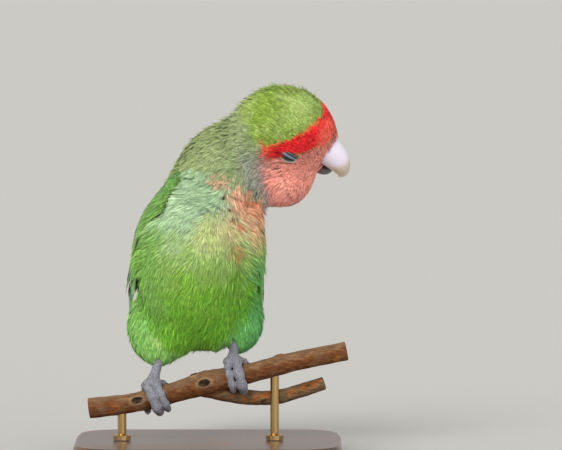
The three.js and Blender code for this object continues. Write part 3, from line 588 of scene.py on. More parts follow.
def stepped(value, low, high):
    """A value's share of the way from low to high, from 0 to 1."""
    return value.of("MapRange", 0, Value=value, From_Min=low, From_Max=high)


def painted_marks(place):
    """The colours that a piece's points carry."""
    return place.of("Attribute", "Color", {"attribute_name": "Markings"})


def noise(place, scale, detail=2.0, **values):
    """Soft noise over a place, with so many waves to the metre."""
    return place.of("TexNoise", "Fac", Vector=place, Scale=scale, Detail=detail, **values)


def stretched(place, scale, turn=(0, 0, 0)):
    """A place turned and then scaled along each axis, for patterns that run one way."""
    return place.of("Mapping", 0, Vector=place, Rotation=turn, Scale=scale)


def down_finish(name, roughness, sheen):
    """Feathers: the markings' colour with a faint mottling, a soft sheen and little gloss."""
    material, shader, place = finish_of(name, roughness, Sheen_Weight=sheen, Sheen_Roughness=0.5,
                                        Specular_IOR_Level=0.2)
    mottle = stepped(noise(place, 1100.0), 0.35, 0.7)
    feed(shader, "Base Color", darkened(painted_marks(place), mottle * 0.3, (0.6, 0.64, 0.56)))
    return material


def fused(parts, voxel):
    """Points and faces of one closed mesh round several closed ones: a voxel remesh of them all, thrown together.
    Each part is a pair of points in millimetres and a list of arrays of faces."""
    starts = np.cumsum([0] + [len(points) for points, _ in parts[:-1]])
    points = np.concatenate([points for points, _ in parts])
    faces = [row.tolist() for (_, groups), start in zip(parts, starts) for rows in groups for row in rows + start]
    mesh = bpy.data.meshes.new("fused")
    mesh.from_pydata((points / 1000).tolist(), [], faces)
    whole = bpy.data.objects.new("fused", mesh)
    bpy.context.scene.collection.objects.link(whole)
    remesh = whole.modifiers.new("fused", "REMESH")
    remesh.mode = "VOXEL"
    remesh.voxel_size = voxel / 1000
    remesh.adaptivity = 0
    made = whole.evaluated_get(bpy.context.evaluated_depsgraph_get()).data
    points = np.zeros(len(made.vertices) * 3, np.float32)
    made.vertices.foreach_get("co", points)
    corners = np.zeros(len(made.loops), np.int32)
    made.loops.foreach_get("vertex_index", corners)
    bpy.data.objects.remove(whole)
    bpy.data.meshes.remove(mesh)
    return points.reshape(-1, 3).astype(float) * 1000, corners.reshape(-1, 4)


def eased(points, quads, rounds, share=0.5):
    """Points drawn towards the mean of their neighbours, some rounds over."""
    edges = np.concatenate([quads[:, [k, (k + 1) % 4]] for k in range(4)])
    count = np.bincount(edges[:, 0], minlength=len(points))[:, None]
    for _ in range(rounds):
        total = np.stack([np.bincount(edges[:, 0], points[edges[:, 1], k], len(points)) for k in range(3)], 1)
        points = points + (total / np.maximum(count, 1) - points) * share
    return points


def grid_faces(rows, columns, wrapped=True):
    """Four-cornered faces between the neighbours of a grid of points, closed round its columns if wrapped."""
    row, column = np.meshgrid(np.arange(rows - 1), np.arange(columns - (0 if wrapped else 1)), indexing="ij")
    after = (column + 1) % columns
    return np.stack([row * columns + column, row * columns + after, (row + 1) * columns + after,
                     (row + 1) * columns + column], -1).reshape(-1, 4)


def capped(rows, columns):
    """The faces of a closed tube: the grid's, and a fan at each end to a point of its own after the grid's."""
    column = np.arange(columns)
    after = (column + 1) % columns
    first, last = rows * columns, rows * columns + 1
    start = np.stack([np.full(columns, first), after, column], -1)
    end = np.stack([np.full(columns, last), (rows - 1) * columns + column, (rows - 1) * columns + after], -1)
    return [grid_faces(rows, columns), start, end]


def ball(place, at, half):
    """An ellipsoid in a frame as a closed grid of points from one pole to the other."""
    rows, columns = 24, 40
    polar, turn = np.meshgrid(np.linspace(0, np.pi, rows + 2)[1:-1], np.arange(columns) * 2 * np.pi / columns,
                              indexing="ij")
    local = np.stack([np.cos(polar), np.sin(polar) * np.cos(turn), np.sin(polar) * np.sin(turn)], -1)
    local = np.concatenate([local.reshape(-1, 3), [[1, 0, 0], [-1, 0, 0]]])
    return room(place, local * half + at), capped(rows, columns)


def wing_pad(side):
    """The padding under a wing's feathers as a closed tube: at each place along, up the patch and back under it."""
    across = np.concatenate([np.linspace(0.06, 0.95, 20), np.linspace(0.95, 0.06, 20)])
    height = np.repeat([PAD_TOP, PAD_FOOT], 20)
    along = np.linspace(0.01, PAD_END, 30)
    points = on_wing(along[:, None], across, side, height)
    ends = points[[0, -1]].mean(axis=1)
    return np.concatenate([points.reshape(-1, 3), ends]), capped(30, 40)


LEVEL_ROOM = (np.zeros(3), np.eye(3))
flesh = [ball(*volume) for volume in TORSO_VOLUMES + NECK_VOLUMES + HEAD_VOLUMES]
flesh += [ball(LEVEL_ROOM, centre, [half] * 3) for side in THIGHS for centre, half in thigh_balls(side)]
flesh += [wing_pad(1), wing_pad(-1)]
outer_points, skin_faces = fused(flesh, 0.9)
outer_points = settled(eased(outer_points, skin_faces, 4), 0)


def coat_depth(points):
    """How deep the skin lies under the feathers' outside: least on the face, most on the belly."""
    off_head, off_neck, off_torso, *off_thighs = off_groups(points)
    shallow = smooth(2, 6, local_to(HEAD, points)[..., 0])
    depth = 2.3 - smooth(2, -2, off_head - np.minimum(off_neck, off_torso)) * (1.0 + 0.5 * shallow)
    return depth - 0.6 * smooth(1, -2, np.minimum(*off_thighs) - off_torso)


skin_points = settled(outer_points, -coat_depth(outer_points), 5, off_flesh)
skin_points = eased(skin_points, skin_faces, 4)
down = down_finish("plumage", 0.8, 0.12)
# The markings times 0.88 on the skin are painted shade for its depth under the feathers.
skin = make_piece("skin", skin_points, skin_faces, down, colours=markings(outer_points) * 0.88)
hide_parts("head", "neck", "torso", "thigh_right", "thigh_left")

# The contour feathers of the head, neck, trunk and thighs. Each feather is a tuft of fine barbs that leave its
# shaft and spread to a rounded tip, and its root sits in the skin. Feathers lie back from the bill and throat,
# each row over the next one's roots, and are shortest on the face.

BILL_ROOT = room(HEAD, [15, -1.5, 0])


def unit(ways):
    """Directions brought to length 1."""
    return ways / np.maximum(np.linalg.norm(ways, axis=-1, keepdims=True), 1e-6)


def lie(points, normals):
    """Which way the feathers lie, along the surface: away from the bill on the head, down the neck's length on the
    hood, away from the throat and tailwards on the trunk, and down a thigh to its ankle. Soft noise turns them a
    little this way and that."""
    shares = np.exp(-owners(points) / 3.2)
    shares /= shares.sum(0)
    ways = [
        unit(points - BILL_ROOT),
        unit(-NECK[1][0] * 20 + 0.35 * (points - NECK[0]) + np.array([-4.0, 0, -6.0])),
        unit(points - THROAT - 13 * TRUNK[1][0] - [0, 0, 7]),
        unit(np.array([-1.5, -6.0, -20.0]) + 0.0 * points),
        unit(np.array([1.5, -5.0, -20.0]) + 0.0 * points),
    ]
    way = sum(share[..., None] * w for share, w in zip(shares, ways))
    way = unit(way - normals * (way * normals).sum(-1, keepdims=True))
    turn = (0.22 * waves(points, 11, 21) + 0.12 * waves(points, 4, 22))[..., None]
    return way * np.cos(turn) + np.cross(normals, way) * np.sin(turn)


def places_on(points, quads, keep, spacing, seed):
    """Places spread evenly over part of a surface: many random ones on its faces, of which each cell of a grid as
    wide as the spacing keeps one."""
    draw = np.random.default_rng(seed)
    triangles = np.concatenate([quads[:, [0, 1, 2]], quads[:, [0, 2, 3]]])
    a, b, c = (points[triangles[:, k]] for k in range(3))
    area = np.linalg.norm(np.cross(b - a, c - a), axis=1) * keep((a + b + c) / 3)
    count = int(7 * area.sum() / 2 / spacing**2)
    pick = draw.choice(len(triangles), count, p=area / area.sum())
    s, t = draw.random((2, count, 1))
    over = s + t > 1
    s, t = np.where(over, 1 - s, s), np.where(over, 1 - t, t)
    places = a[pick] + (b - a)[pick] * s + (c - a)[pick] * t
    _, first = np.unique(np.floor(places / spacing).astype(int), axis=0, return_index=True)
    return places[np.sort(first)]


def unwrapped(place, points):
    """The skin laid out flat round a frame's forward axis, true to area on a ball: the turn round the axis, and the
    share of the way from back to front. From 0.01 to 0.99 both ways."""
    local = local_to(place, points)
    turn = np.arctan2(local[:, 2], local[:, 1]) / (2 * np.pi) + 0.5
    ahead = local[:, 0] / np.linalg.norm(local, axis=1) / 2 + 0.5
    return 0.01 + 0.98 * np.stack([turn, ahead], 1)


# A barb has seven corners: three along its left rim, the same three along its right one, and its point.
SHAFT_STATIONS = 6
BARB_PLACES, BARB_WIDTHS = np.array([0, 0.3, 0.68, 1]), np.array([0.6, 1, 0.8, 0])
# Tones along a barb: darker at the root, partly for the grey down there and partly as painted shade under the
# overlying feathers.
BARB_DOWN_AND_SHADE_TONES = np.array([0.58, 0.84, 1, 1.12])
BARB_CORNERS = [0, 1, 2, 0, 1, 2, 3]
BARB_SIDES = np.array([-1, -1, -1, 1, 1, 1, 0])
BARB_FACES = np.array([[0, 3, 4], [0, 4, 1], [1, 4, 5], [1, 5, 2], [2, 5, 6]])


def shafts(root, length, deep, tip_lift, field, sway):
    """Feathers' shafts at even stations: places, and the directions across and outward. A shaft starts in the skin,
    follows the lie over the surface while it rises to the plumage's outside, and its tip stands off by its lift."""
    places, across, above = [], [], []
    at = root
    for share in np.linspace(0, 1, SHAFT_STATIONS):
        at = settled(at, -deep * (1 - share) ** 1.5 + tip_lift * share**2, 2, field)
        normal, _ = outward(at, field)
        way = lie(at, normal)
        if sway is not None:
            way = way + sway(at)
            way = unit(way - normal * (way * normal).sum(-1, keepdims=True))
        places.append(at)
        above.append(normal)
        across.append(np.cross(normal, way))
        at = at + way * (length / (SHAFT_STATIONS - 1))[:, None]
    return tuple(np.stack(rows, 1) for rows in (places, across, above))


def barb_points(stations, aside, width, fine, point, ragged, gather, draw):
    """The corners of feathers' barbs. They start near the root at the shaft and move sideways by a quarter of a sine
    wave to their places across the feather's width. They end on an outline that is rounded, or pointed where the
    point share is high, and each narrows to a point. Gathered tips draw in to the shaft again."""
    count, barbs = aside.shape
    start = 0.06 + 0.35 * np.abs(aside) + draw.uniform(0, 0.1, aside.shape)
    end = 1 - point * aside**2 - draw.uniform(0, ragged, aside.shape)
    start = np.minimum(start, end - 0.2)
    along = (start[..., None] + (end - start)[..., None] * BARB_PLACES) * (SHAFT_STATIONS - 1)
    cell = np.clip(along.astype(int), 0, SHAFT_STATIONS - 2)
    rest = (along - cell)[..., None]
    row = np.arange(count)[:, None, None]
    centre, side, up = (grid[row, cell] * (1 - rest) + grid[row, cell + 1] * rest for grid in stations)
    reach = np.sin(np.minimum(BARB_PLACES * 1.15, 1) * np.pi / 2) * (1 - gather * BARB_PLACES**2)
    off = (0.12 + 0.88 * reach) * aside[..., None] * (width / 2)[:, None, None]
    centre = centre + side * off[..., None]
    centre = centre - up * (0.12 * width[:, None, None] * (aside**2)[..., None] * reach
                            + draw.uniform(-0.14, 0.14, aside.shape)[..., None] * BARB_PLACES)[..., None]
    twist = draw.uniform(-0.5, 0.5, aside.shape)[..., None, None]
    flat = side * np.cos(twist) + up * np.sin(twist)
    half = (width / barbs * fine / 2)[:, None, None] * BARB_WIDTHS
    left, right = centre - flat * half[..., None], centre + flat * half[..., None]
    return np.concatenate([left[..., :3, :], right[..., :3, :], centre[..., 3:, :]], -2)


def barb_colours(places, shape, stray, pale, draw):
    """The colours of feathers' barbs, darker at the root, partly for the grey down there and partly as painted shade
    under the feathers that overlie it. A feather takes its colour from a place that strays a little from its own, so
    that borders are ragged, and a few of its barbs are paler."""
    base = markings(places + draw.normal(0, stray, places.shape)) * draw.uniform(0.9, 1.1, (len(places), 1))
    light = draw.random(shape)[..., None] ** 3 * pale
    tone = draw.uniform(0.82, 1.08, shape)[..., None]
    colours = base[:, None] * tone * (1 + light) + light * 0.06
    return colours[:, :, None] * BARB_DOWN_AND_SHADE_TONES[BARB_CORNERS][:, None]


def plumage(name, slot, place, keep, seed, spacing, length, width, barbs, lift, field=off_coat, fine=1.6, point=0.25,
            ragged=0.14, sway=None, stray=0.6, gather=0.0, pale=0.5):
    """One region's feathers as tufts of barbs. Sizes are numbers, or functions of the roots' places."""
    draw = np.random.default_rng(seed)
    root = places_on(outer_points, skin_faces, keep, spacing, seed)
    count = len(root)
    length, width, lift = (value(root) if callable(value) else np.full(count, float(value))
                           for value in (length, width, lift))
    length = length * draw.uniform(0.82, 1.18, count)
    width = width * draw.uniform(0.85, 1.15, count)
    deep = coat_depth(root) + np.maximum(off_flesh(root), 0) - np.minimum(field(root), 0)
    stations = shafts(root, length, deep, lift * draw.uniform(0.3, 1.2, count), field, sway)
    aside = np.linspace(-1, 1, barbs) + draw.uniform(-0.5, 0.5, (count, barbs)) * 2 / barbs
    points = barb_points(stations, aside, width, fine, point, ragged, gather, draw)
    faces = (np.arange(count * barbs)[:, None, None] * len(BARB_CORNERS) + BARB_FACES).reshape(-1, 3)
    colours = barb_colours(stations[0][:, 3], aside.shape, stray, pale, draw)
    step = BARB_PLACES[BARB_CORNERS] * 0.003
    edge = (aside[..., None] + BARB_SIDES / barbs) * 0.0015
    patch = unwrapped(place, root)[:, None, None, :]
    bake = (patch + np.stack([edge, np.broadcast_to(step - 0.0015, edge.shape)], -1)).reshape(-1, 2)
    return make_piece(name, points.reshape(-1, 3), faces, down, colours=colours.reshape(-1, 3),
                      maps={"OFBake": bake})


IN_HEAD, IN_NECK, IN_TORSO, IN_RIGHT_THIGH, IN_LEFT_THIGH = range(5)
BREAST_FOOT, BREAST_SIDE, BELLY_SIDE = 68, 4, 14


def nearest(points, group):
    """Whether each point belongs to a group."""
    return np.argmin(owners(points), axis=0) == group


def under_wing(points):
    """Whether each point lies under a wing's padded part, where its vanes hide the body. The breast's feathers reach
    up over the lowest coverts' roots, and over the whole bend on the left."""
    hidden = np.zeros(points.shape[:-1], bool)
    for side, over, start in ((1, 10, -0.01), (-1, 24, 0.13)):
        along, _, _ = wing_place(points, side)
        hidden |= (off_wing(points, side, PAD_TOP, -over * smooth(0.42, 0.22, along)) < 0.4) & (along > start)
    return hidden


def on_face(points):
    """Whether each point of the head lies in front of the cheeks' and crown's long feathers."""
    f, u, _ = np.moveaxis(local_to(HEAD, points), -1, 0)
    return f + 0.25 * u > 6.5


EYE_AT = np.array([7, 4.7, 10.2])
BILL_BALLS = [(13, 0.4, 5.3), (15.5, 0.3, 5.3), (17.6, -1, 4.8), (19.2, -2.4, 4.3), (13.5, -8.4, 2.9),
              (16.6, -8.9, 2.6)]
EYE_CLEARING = [4.6, 3.1]


def feathered(points):
    """Whether each point of the head lies outside both eyes' rings and the bill, taken as a row of balls."""
    f, u, r = np.moveaxis(local_to(HEAD, points), -1, 0)
    turn = np.radians(20)
    along = (f - EYE_AT[0]) * np.cos(turn) - (u - EYE_AT[1]) * np.sin(turn)
    across = (f - EYE_AT[0]) * np.sin(turn) + (u - EYE_AT[1]) * np.cos(turn)
    eye = (np.hypot((along - 0.7) / EYE_CLEARING[0], (across + 0.6) / EYE_CLEARING[1]) < 1) & (np.abs(r) > 6)
    bill = [np.hypot(np.hypot(f - a, u - b), r) - half for a, b, half in BILL_BALLS]
    return ~eye & (np.min(bill, axis=0) > 0.1)


def upper_head(points):
    return nearest(points, IN_HEAD) & ~on_face(points) & (local_to(HEAD, points)[..., 1] > -1)


def crown_top(points):
    f, u, _ = np.moveaxis(local_to(HEAD, points), -1, 0)
    return nearest(points, IN_HEAD) & feathered(points) & (f + 0.25 * u < 10.5) & (u > 1)


def lower_head(points):
    return nearest(points, IN_HEAD) & ~on_face(points) & (local_to(HEAD, points)[..., 1] <= -1)


def face(points):
    return nearest(points, IN_HEAD) & on_face(points) & feathered(points)


def hood(points):
    return nearest(points, IN_NECK) & ~under_wing(points)


def hood_edge_lift(points):
    """How far hood feathers stand off: more along the hood's lower edge, which lies over the breast."""
    _, off_neck, off_torso, *_ = owners(points)
    return 0.4 + 0.5 * smooth(6, 1, off_torso - off_neck)


def breast(points):
    front = (points[..., 1] < BREAST_SIDE) & (points[..., 2] > BREAST_FOOT)
    return nearest(points, IN_TORSO) & front & ~under_wing(points)


def belly(points):
    front = (points[..., 1] < BELLY_SIDE) & (points[..., 2] <= BREAST_FOOT)
    return nearest(points, IN_TORSO) & front & ~under_wing(points)


def back(points):
    side = np.where(points[..., 2] > BREAST_FOOT, BREAST_SIDE, BELLY_SIDE)
    return nearest(points, IN_TORSO) & (points[..., 1] >= side) & ~under_wing(points)


def thighs(points):
    return nearest(points, IN_RIGHT_THIGH) | nearest(points, IN_LEFT_THIGH)


def flanks(points):
    """Whether each point of the trunk lies within a feather's length below a wing's lower edge, before its quills."""
    found = np.zeros(points.shape[:-1], bool)
    for side, lifted, broad, end in ((1, 0, 4, 0.22), (-1, 25, 9, 0.44)):
        along, angle, _ = wing_place(points, side)
        front = smooth(0.42, 0.2, along)
        below = (WING_ARC["low"](np.clip(along, 0, 1)) + 6 + lifted * front - angle) * 0.35
        found |= (below > -1) & (below < 7 + broad * front) & (along > -0.1) & (along < end)
    return found & ~nearest(points, IN_HEAD)


def sideways(points):
    """The way from the breast out to the nearer flank. It is stronger on the left, where the breast's feathers are
    fluffed over the wing's bend."""
    right = local_to(TRUNK, points)[..., 2:]
    return np.where(right > 0, 0.55, -1.2) * TRUNK[1][2]


def lower_trunk(points):
    return breast(points) | belly(points) | thighs(points)


for name, slot, place, keep, *sizes in (
    ("crown_feathers", "crown_plumage", HEAD, upper_head, 31, 0.92, 4.4, 2.0, 11, 0.45),
    ("cheek_feathers", "crown_plumage", HEAD, lower_head, 32, 0.86, 5.4, 1.8, 10, 0.35),
    ("face_feathers", "crown_plumage", HEAD, face, 33, 0.62, 2.6, 1.2, 7, 0.15),
    ("hood_feathers", "neck_plumage", NECK, hood, 34, 1.2, 6.4, 2.9, 14, hood_edge_lift),
    ("breast_feathers", "body_plumage", TRUNK, breast, 35, 1.3, 9.4, 4.0, 20, 0.5),
    ("belly_feathers", "body_plumage", TRUNK, belly, 36, 1.45, 9.0, 4.2, 20, 0.6),
    ("back_feathers", "body_plumage", TRUNK, back, 37, 2.0, 9.0, 5.2, 18, 0.4),
    ("thigh_feathers", "thigh_plumage", TRUNK, thighs, 38, 1.25, 7.5, 3.0, 16, 0.8),
):
    plumage(name, slot, place, keep, *sizes, stray=0.35 if place is HEAD else 0.8, pale=0.9 if place is HEAD else 0.6)
plumage("flank_feathers", "body_plumage", TRUNK, flanks, 39, 1.4, 10.5, 3.2, 14, 0.9, field=off_flank, fine=1.3,
        point=0.5, ragged=0.3, sway=sideways, stray=0.8, pale=0.9)
plumage("crown_tips", "crown_plumage", HEAD, crown_top, 41, 2.4, 4.3, 2.9, 16, 2.2, fine=1.3, point=0.5, ragged=0.2,
        gather=0.65)
plumage("hood_tips", "neck_plumage", NECK, hood, 42, 2.9, 6.4, 2.8, 14, 1.7, fine=1.3, point=0.5, ragged=0.2,
        gather=0.65)
plumage("body_tips", "body_plumage", TRUNK, lower_trunk, 43, 2.5, 10.0, 2.6, 10, 1.3, fine=1.1, point=0.6, ragged=0.3,
        stray=1.0, gather=0.5, pale=1.0)

# The folded wings. Each is a fan of stiff vanes on a curved patch wrapped round the trunk: primaries and
# secondaries lowest, then rows of coverts that shorten towards the bend, every row over the next one's roots. The
# smallest coverts hug the shoulder. The left wing's bend is tucked in under the breast, so its last four rows are
# left out.

# The first tier is the primaries and the second the secondaries. Roots and tips are places along the patch, a step
# is the change of the tip from feather to feather, and the low and high pairs are the first and last feather's
# places across the patch, at the roots and at the tips.
WING_TIERS = [
    dict(count=9, root=0.36, tip=1.0, step=-0.036, low=(0.08, 0.6), high=(0.2, 0.75), wide=6.2, lift=1.0),
    dict(count=9, root=0.24, tip=0.75, step=-0.013, low=(0.3, 0.96), high=(0.2, 0.92), wide=7.2, lift=1.4),
    dict(count=7, root=0.25, tip=0.56, step=0.004, low=(0.05, 0.34), high=(0.05, 0.3), wide=4.8, lift=1.65),
    dict(count=11, root=0.2, tip=0.51, step=-0.003, low=(0.16, 0.97), high=(0.13, 0.95), wide=5.8, lift=1.95),
    dict(count=11, root=0.16, tip=0.42, step=0, low=(0.1, 0.97), high=(0.08, 0.94), wide=5.4, lift=2.15),
    dict(count=12, root=0.11, tip=0.34, step=0, low=(0.07, 0.96), high=(0.05, 0.93), wide=5.0, lift=2.45),
    dict(count=12, root=0.06, tip=0.275, step=0, low=(0.06, 0.95), high=(0.05, 0.93), wide=4.8, lift=2.65),
    dict(count=12, root=0.02, tip=0.215, step=0, low=(0.05, 0.95), high=(0.05, 0.93), wide=4.6, lift=2.8),
    dict(count=11, root=-0.01, tip=0.16, step=0, low=(0.05, 0.95), high=(0.06, 0.93), wide=4.4, lift=2.85),
    dict(count=10, root=-0.04, tip=0.105, step=0, low=(0.08, 0.94), high=(0.08, 0.93), wide=4.2, lift=2.8),
    dict(count=9, root=-0.07, tip=0.055, step=0, low=(0.12, 0.9), high=(0.1, 0.92), wide=4.0, lift=2.6),
]
# Tiers of flight feathers, and tiers whose fronts don't draw in to the body. A side's bare share is how much of its
# lower edge has no coverts at the bend, where the breast's feathers grow over it.
FLIGHT_TIERS, STRAIGHT_TIERS = 2, 3
WING_SIDES = {"right": dict(side=1, seed=51, tiers=11, bare=0.14), "left": dict(side=-1, seed=52, tiers=7, bare=0.35)}
WING_GREEN, WING_DEEP, WING_RIM = (linear(c) for c in ("7cc147", "56a53c", "b8dc6c"))
FLIGHT_WEB, FLIGHT_DARK, FLIGHT_TIP = (linear(c) for c in ("55a64c", "20281f", "238084"))


def wing_outward(along, across, side):
    """The patch's outward direction: the cross product of its two slopes."""
    back = on_wing(along + 0.02, across, side) - on_wing(along - 0.02, across, side)
    up = on_wing(along, across + 0.02, side) - on_wing(along, across - 0.02, side)
    return unit(-side * np.cross(back, up))


VANE_ROWS, VANE_COLUMNS = 22, 11
VANE_SHARES = np.linspace(0, 1, VANE_ROWS) ** 0.85
FLIGHT_CLOSING, COVERT_CLOSING, TAIL_CLOSING = 0.72, 0.55, 0.8
VANE_LEAN = np.tan(np.radians(9))
vane_width = profile([[0, 0.3], [0.25, 0.82], [0.6, 1], [0.85, 0.92], [1, 0.8]])


def vanes(places, outs, wide, rise, slant, closing, draw):
    """Feather vanes as sheets. Places and outward directions follow each shaft. The width is the profile's, closed
    to a rounded tip by a quarter of an ellipse, and its rim is uneven, with a few splits between barbs. Across, the
    sheet is arched, leans by the slant so that it lies over its neighbour, and has a low ridge for the shaft."""
    count, share = len(places), VANE_SHARES
    sideways = np.cross(outs, unit(np.gradient(places, axis=1)))
    close = np.sqrt(np.clip(1 - (np.maximum(share - closing, 0) / (1.001 - closing)) ** 2, 0, 1))
    half = vane_width(share) * close * wide[:, None] / 2
    v = np.linspace(-1, 1, VANE_COLUMNS)
    split = (draw.random((count, VANE_ROWS, 2)) < 0.07) * 0.22
    ragged = 1 - (0.1 * draw.random((count, VANE_ROWS, 2)) + split)[..., (v > 0).astype(int)] * (np.abs(v) > 0.75)
    off = half[..., None] * v * ragged
    height = rise[..., None] - 0.07 * off**2 / np.maximum(wide[:, None, None] / 5, 1)
    height = height + off * slant + 0.16 * (np.abs(v) < 0.05) * (1 - share[:, None] ** 2)
    height = height + 0.14 * draw.uniform(-1, 1, (count, 1, 1)) * share[:, None] ** 2
    points = places[:, :, None] + sideways[:, :, None] * off[..., None] + outs[:, :, None] * height[..., None]
    return points, np.broadcast_to(share[:, None], off.shape), np.broadcast_to(v, off.shape)


def vane_finish(name):
    """Feather vanes: the markings' colour, crossed by fine barbs that slope from the shaft to the rim, drawn on the
    vane's own map as a wave of the place along it less the place across it."""
    material, shader, place = finish_of(name, 0.5, Sheen_Weight=0.12, Sheen_Roughness=0.5, Specular_IOR_Level=0.3)
    flat = place.of("UVMap", 0, {"uv_map": "Vane"})
    across = flat.of("SeparateXYZ", "X", Vector=flat)
    along = flat.of("SeparateXYZ", "Y", Vector=flat)
    barb = along * 2.2 - across.alone("ABSOLUTE") * 3.0 + noise(flat, 3.0) * 0.5
    stripe = (barb * 14.0).alone("SINE") * 0.5 + 0.5
    feed(shader, "Base Color", darkened(painted_marks(place), stripe * 0.4, (0.6, 0.66, 0.6)))
    emboss(shader, stripe, 0.35, 0.1)
    return material


def vane_piece(name, groups, finish):
    """Joins groups of vanes into one piece. Each vane has its own cell of a square grid on the baking map, and a
    second map holds its place across, in half widths, and along, in millimetres."""
    points, share, v, colours, length = (np.concatenate(rows) for rows in zip(*groups))
    count = len(points)
    cells = int(np.ceil(np.sqrt(count)))
    faces = (np.arange(count)[:, None, None] * VANE_ROWS * VANE_COLUMNS
             + grid_faces(VANE_ROWS, VANE_COLUMNS, wrapped=False)).reshape(-1, 4)
    n = np.arange(count)[:, None, None]
    bake = np.stack([(n % cells + 0.5 + 0.46 * v) / cells, (n // cells + 0.04 + 0.92 * share) / cells], -1)
    vane = np.stack([v, share * length[:, None, None]], -1)
    return make_piece(name, points.reshape(-1, 3), faces, finish, colours=colours.reshape(-1, 3),
                      maps={"OFBake": bake.reshape(-1, 2), "Vane": vane.reshape(-1, 2)})


def covert_colours(share, v):
    """A covert's colours: green with a deeper middle and a yellowish rim, and a root darkened as painted
    shade under the row above.
    """
    rim = smooth(0.74, 1, np.maximum(np.abs(v), (share - 0.78) * 4.5))
    colour = painted(WING_GREEN, (WING_DEEP, smooth(0.6, 0.0, np.abs(v)) * 0.6), (WING_RIM, rim * 0.8))
    # Painted shade: darker towards the root, where the row above covers it.
    return colour * (0.42 + 0.58 * smooth(0.3, 0.8, share))[..., None]


def flight_colours(share, v, side, inner):
    """A flight feather's colours: a green outer web with a yellowish rim, a black inner web and a teal end. The
    nearer the back, the greener are the inner web and the end. Towards the root it is darkened as painted shade
    under the coverts."""
    inner = inner[:, None, None]
    colour = painted(
        FLIGHT_WEB,
        (FLIGHT_DARK, smooth(0.0, 0.22, -v * side) * (1 - inner)),
        (FLIGHT_TIP, smooth(0.84, 0.94, share) * (1 - 0.85 * inner)),
        (WING_RIM, smooth(0.72, 0.95, v * side) * smooth(0.9, 0.65, share) * 0.75),
    )
    # Painted shade: darker towards the root, under the coverts that overlie it.
    return colour * (0.5 + 0.5 * smooth(0.2, 0.6, share))[..., None]


vane_coat = vane_finish("vanes")
for word, kind in WING_SIDES.items():
    side, draw = kind["side"], np.random.default_rng(kind["seed"])
    groups = []
    for number, tier in enumerate(WING_TIERS[:kind["tiers"]]):
        n = np.arange(tier["count"])
        flight, drawn_in = number < FLIGHT_TIERS, number >= STRAIGHT_TIERS
        part = n / (tier["count"] - 1)
        root = tier["root"] + draw.uniform(-0.01, 0.01, len(n))
        tip = tier["tip"] + tier["step"] * n + draw.uniform(-0.011, 0.011, len(n))
        onward = kind["bare"] * smooth(0.42, 0.2, tier["tip"]) * drawn_in
        low = tier["low"][0] + onward + (tier["low"][1] - tier["low"][0] - onward) * part
        high = tier["high"][0] + onward + (tier["high"][1] - tier["high"][0] - onward) * part
        high = high + draw.uniform(-0.01, 0.01, len(n))
        along = root[:, None] + (tip - root)[:, None] * VANE_SHARES
        across = low[:, None] + (high - low)[:, None] * VANE_SHARES
        rise = tier["lift"] - 1.4 * (1 - smooth(0, 0.35, VANE_SHARES)) + 1.6 * flight * VANE_SHARES**2 + 0 * along
        wide = np.full(len(n), tier["wide"]) * draw.uniform(0.92, 1.08, len(n))
        places, outs = on_wing(along, across, side), wing_outward(along, across, side)
        hug = (np.maximum(smooth(0.16, -0.04, across), smooth(0.16, 0.02, along)) * drawn_in)[..., None]
        places = places + hug * (settled(places, -0.65 * tier["lift"]) - places)
        outs = unit(outs + hug * (outward(places)[0] - outs))
        slant = VANE_LEAN * side * np.where((number == 0) & (n < 3), -1.6, 1)[:, None, None]
        points, shares, v = vanes(places, outs, wide, rise, slant, FLIGHT_CLOSING if flight else COVERT_CLOSING,
                                   draw)
        inner = smooth(0, 0.5, part) if number else 0 * part
        colours = flight_colours(shares, v, side, inner) if flight else covert_colours(shares, v)
        colours = colours * draw.uniform(0.85, 1.12, (len(n), 1, 1, 1))
        groups.append((points, shares, v, colours, WING_LENGTH * (tip - root)))
    wing = vane_piece("wing_feathers_" + word, groups, vane_coat)
    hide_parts("wing_" + word)

# The tail: twelve stiff feathers stacked like a roof with the middle pair on top, and coverts over and under their
# roots. The species' tail is green with a blue end, and each side feather has an orange patch and a black bar.

TAIL_ROOT = frame_of(room(TRUNK, [-31, 3, 0]), 3, 15, -10)
TAIL_GREEN, TAIL_BLUE, TAIL_ORANGE = (linear(c) for c in ("4aa04a", "3f9cc0", "e0642e"))
UNDER_TAIL = linear("9cc06a")
TAIL_STEP = 0.75
UPPER_COVERTS = ((30, 0.9), (25, 1.5), (20, 2.1), (14, 2.7), (9, 3.0))
UNDER_COVERTS = ((27, 1.0), (21, 1.7), (15, 2.2))
COVERT_COUNT = 9


def tail_vanes(length, wide, aside, height, fan, sunk, draw):
    """Tail feathers as sheets that run straight back from the tail's root, each turned aside by its fan angle."""
    fan = np.radians(fan)[:, None]
    back = length[:, None] * VANE_SHARES
    local = np.stack([-back * np.cos(fan), height[:, None] - 0.6 * VANE_SHARES**2 + 0 * fan,
                      aside[:, None] + back * np.sin(fan)], -1)
    outs = np.broadcast_to(TAIL_ROOT[1][1], local.shape)
    rise = -sunk[:, None] * (1 - smooth(0, 0.5, VANE_SHARES))
    return vanes(room(TAIL_ROOT, local), outs, wide, rise, 0.0, TAIL_CLOSING, draw)


def tail_colours(share, v, number):
    """A tail feather's colours along it: green, then on the side feathers an orange patch and a black bar, then a
    blue end."""
    sides = (number > 0.5)[:, None, None] * 1.0
    return painted(
        TAIL_GREEN,
        (TAIL_ORANGE, sides * smooth(0.35, 0.5, share) * smooth(0.75, 0.62, share) * smooth(1, 0.6, np.abs(v))),
        (FLIGHT_DARK, sides * smooth(0.7, 0.74, share) * smooth(0.84, 0.8, share)),
        (TAIL_BLUE, smooth(0.78, 0.9, share)),
        (WING_RIM, smooth(0.8, 1, np.abs(v)) * smooth(0.8, 0.5, share) * 0.25),
    )


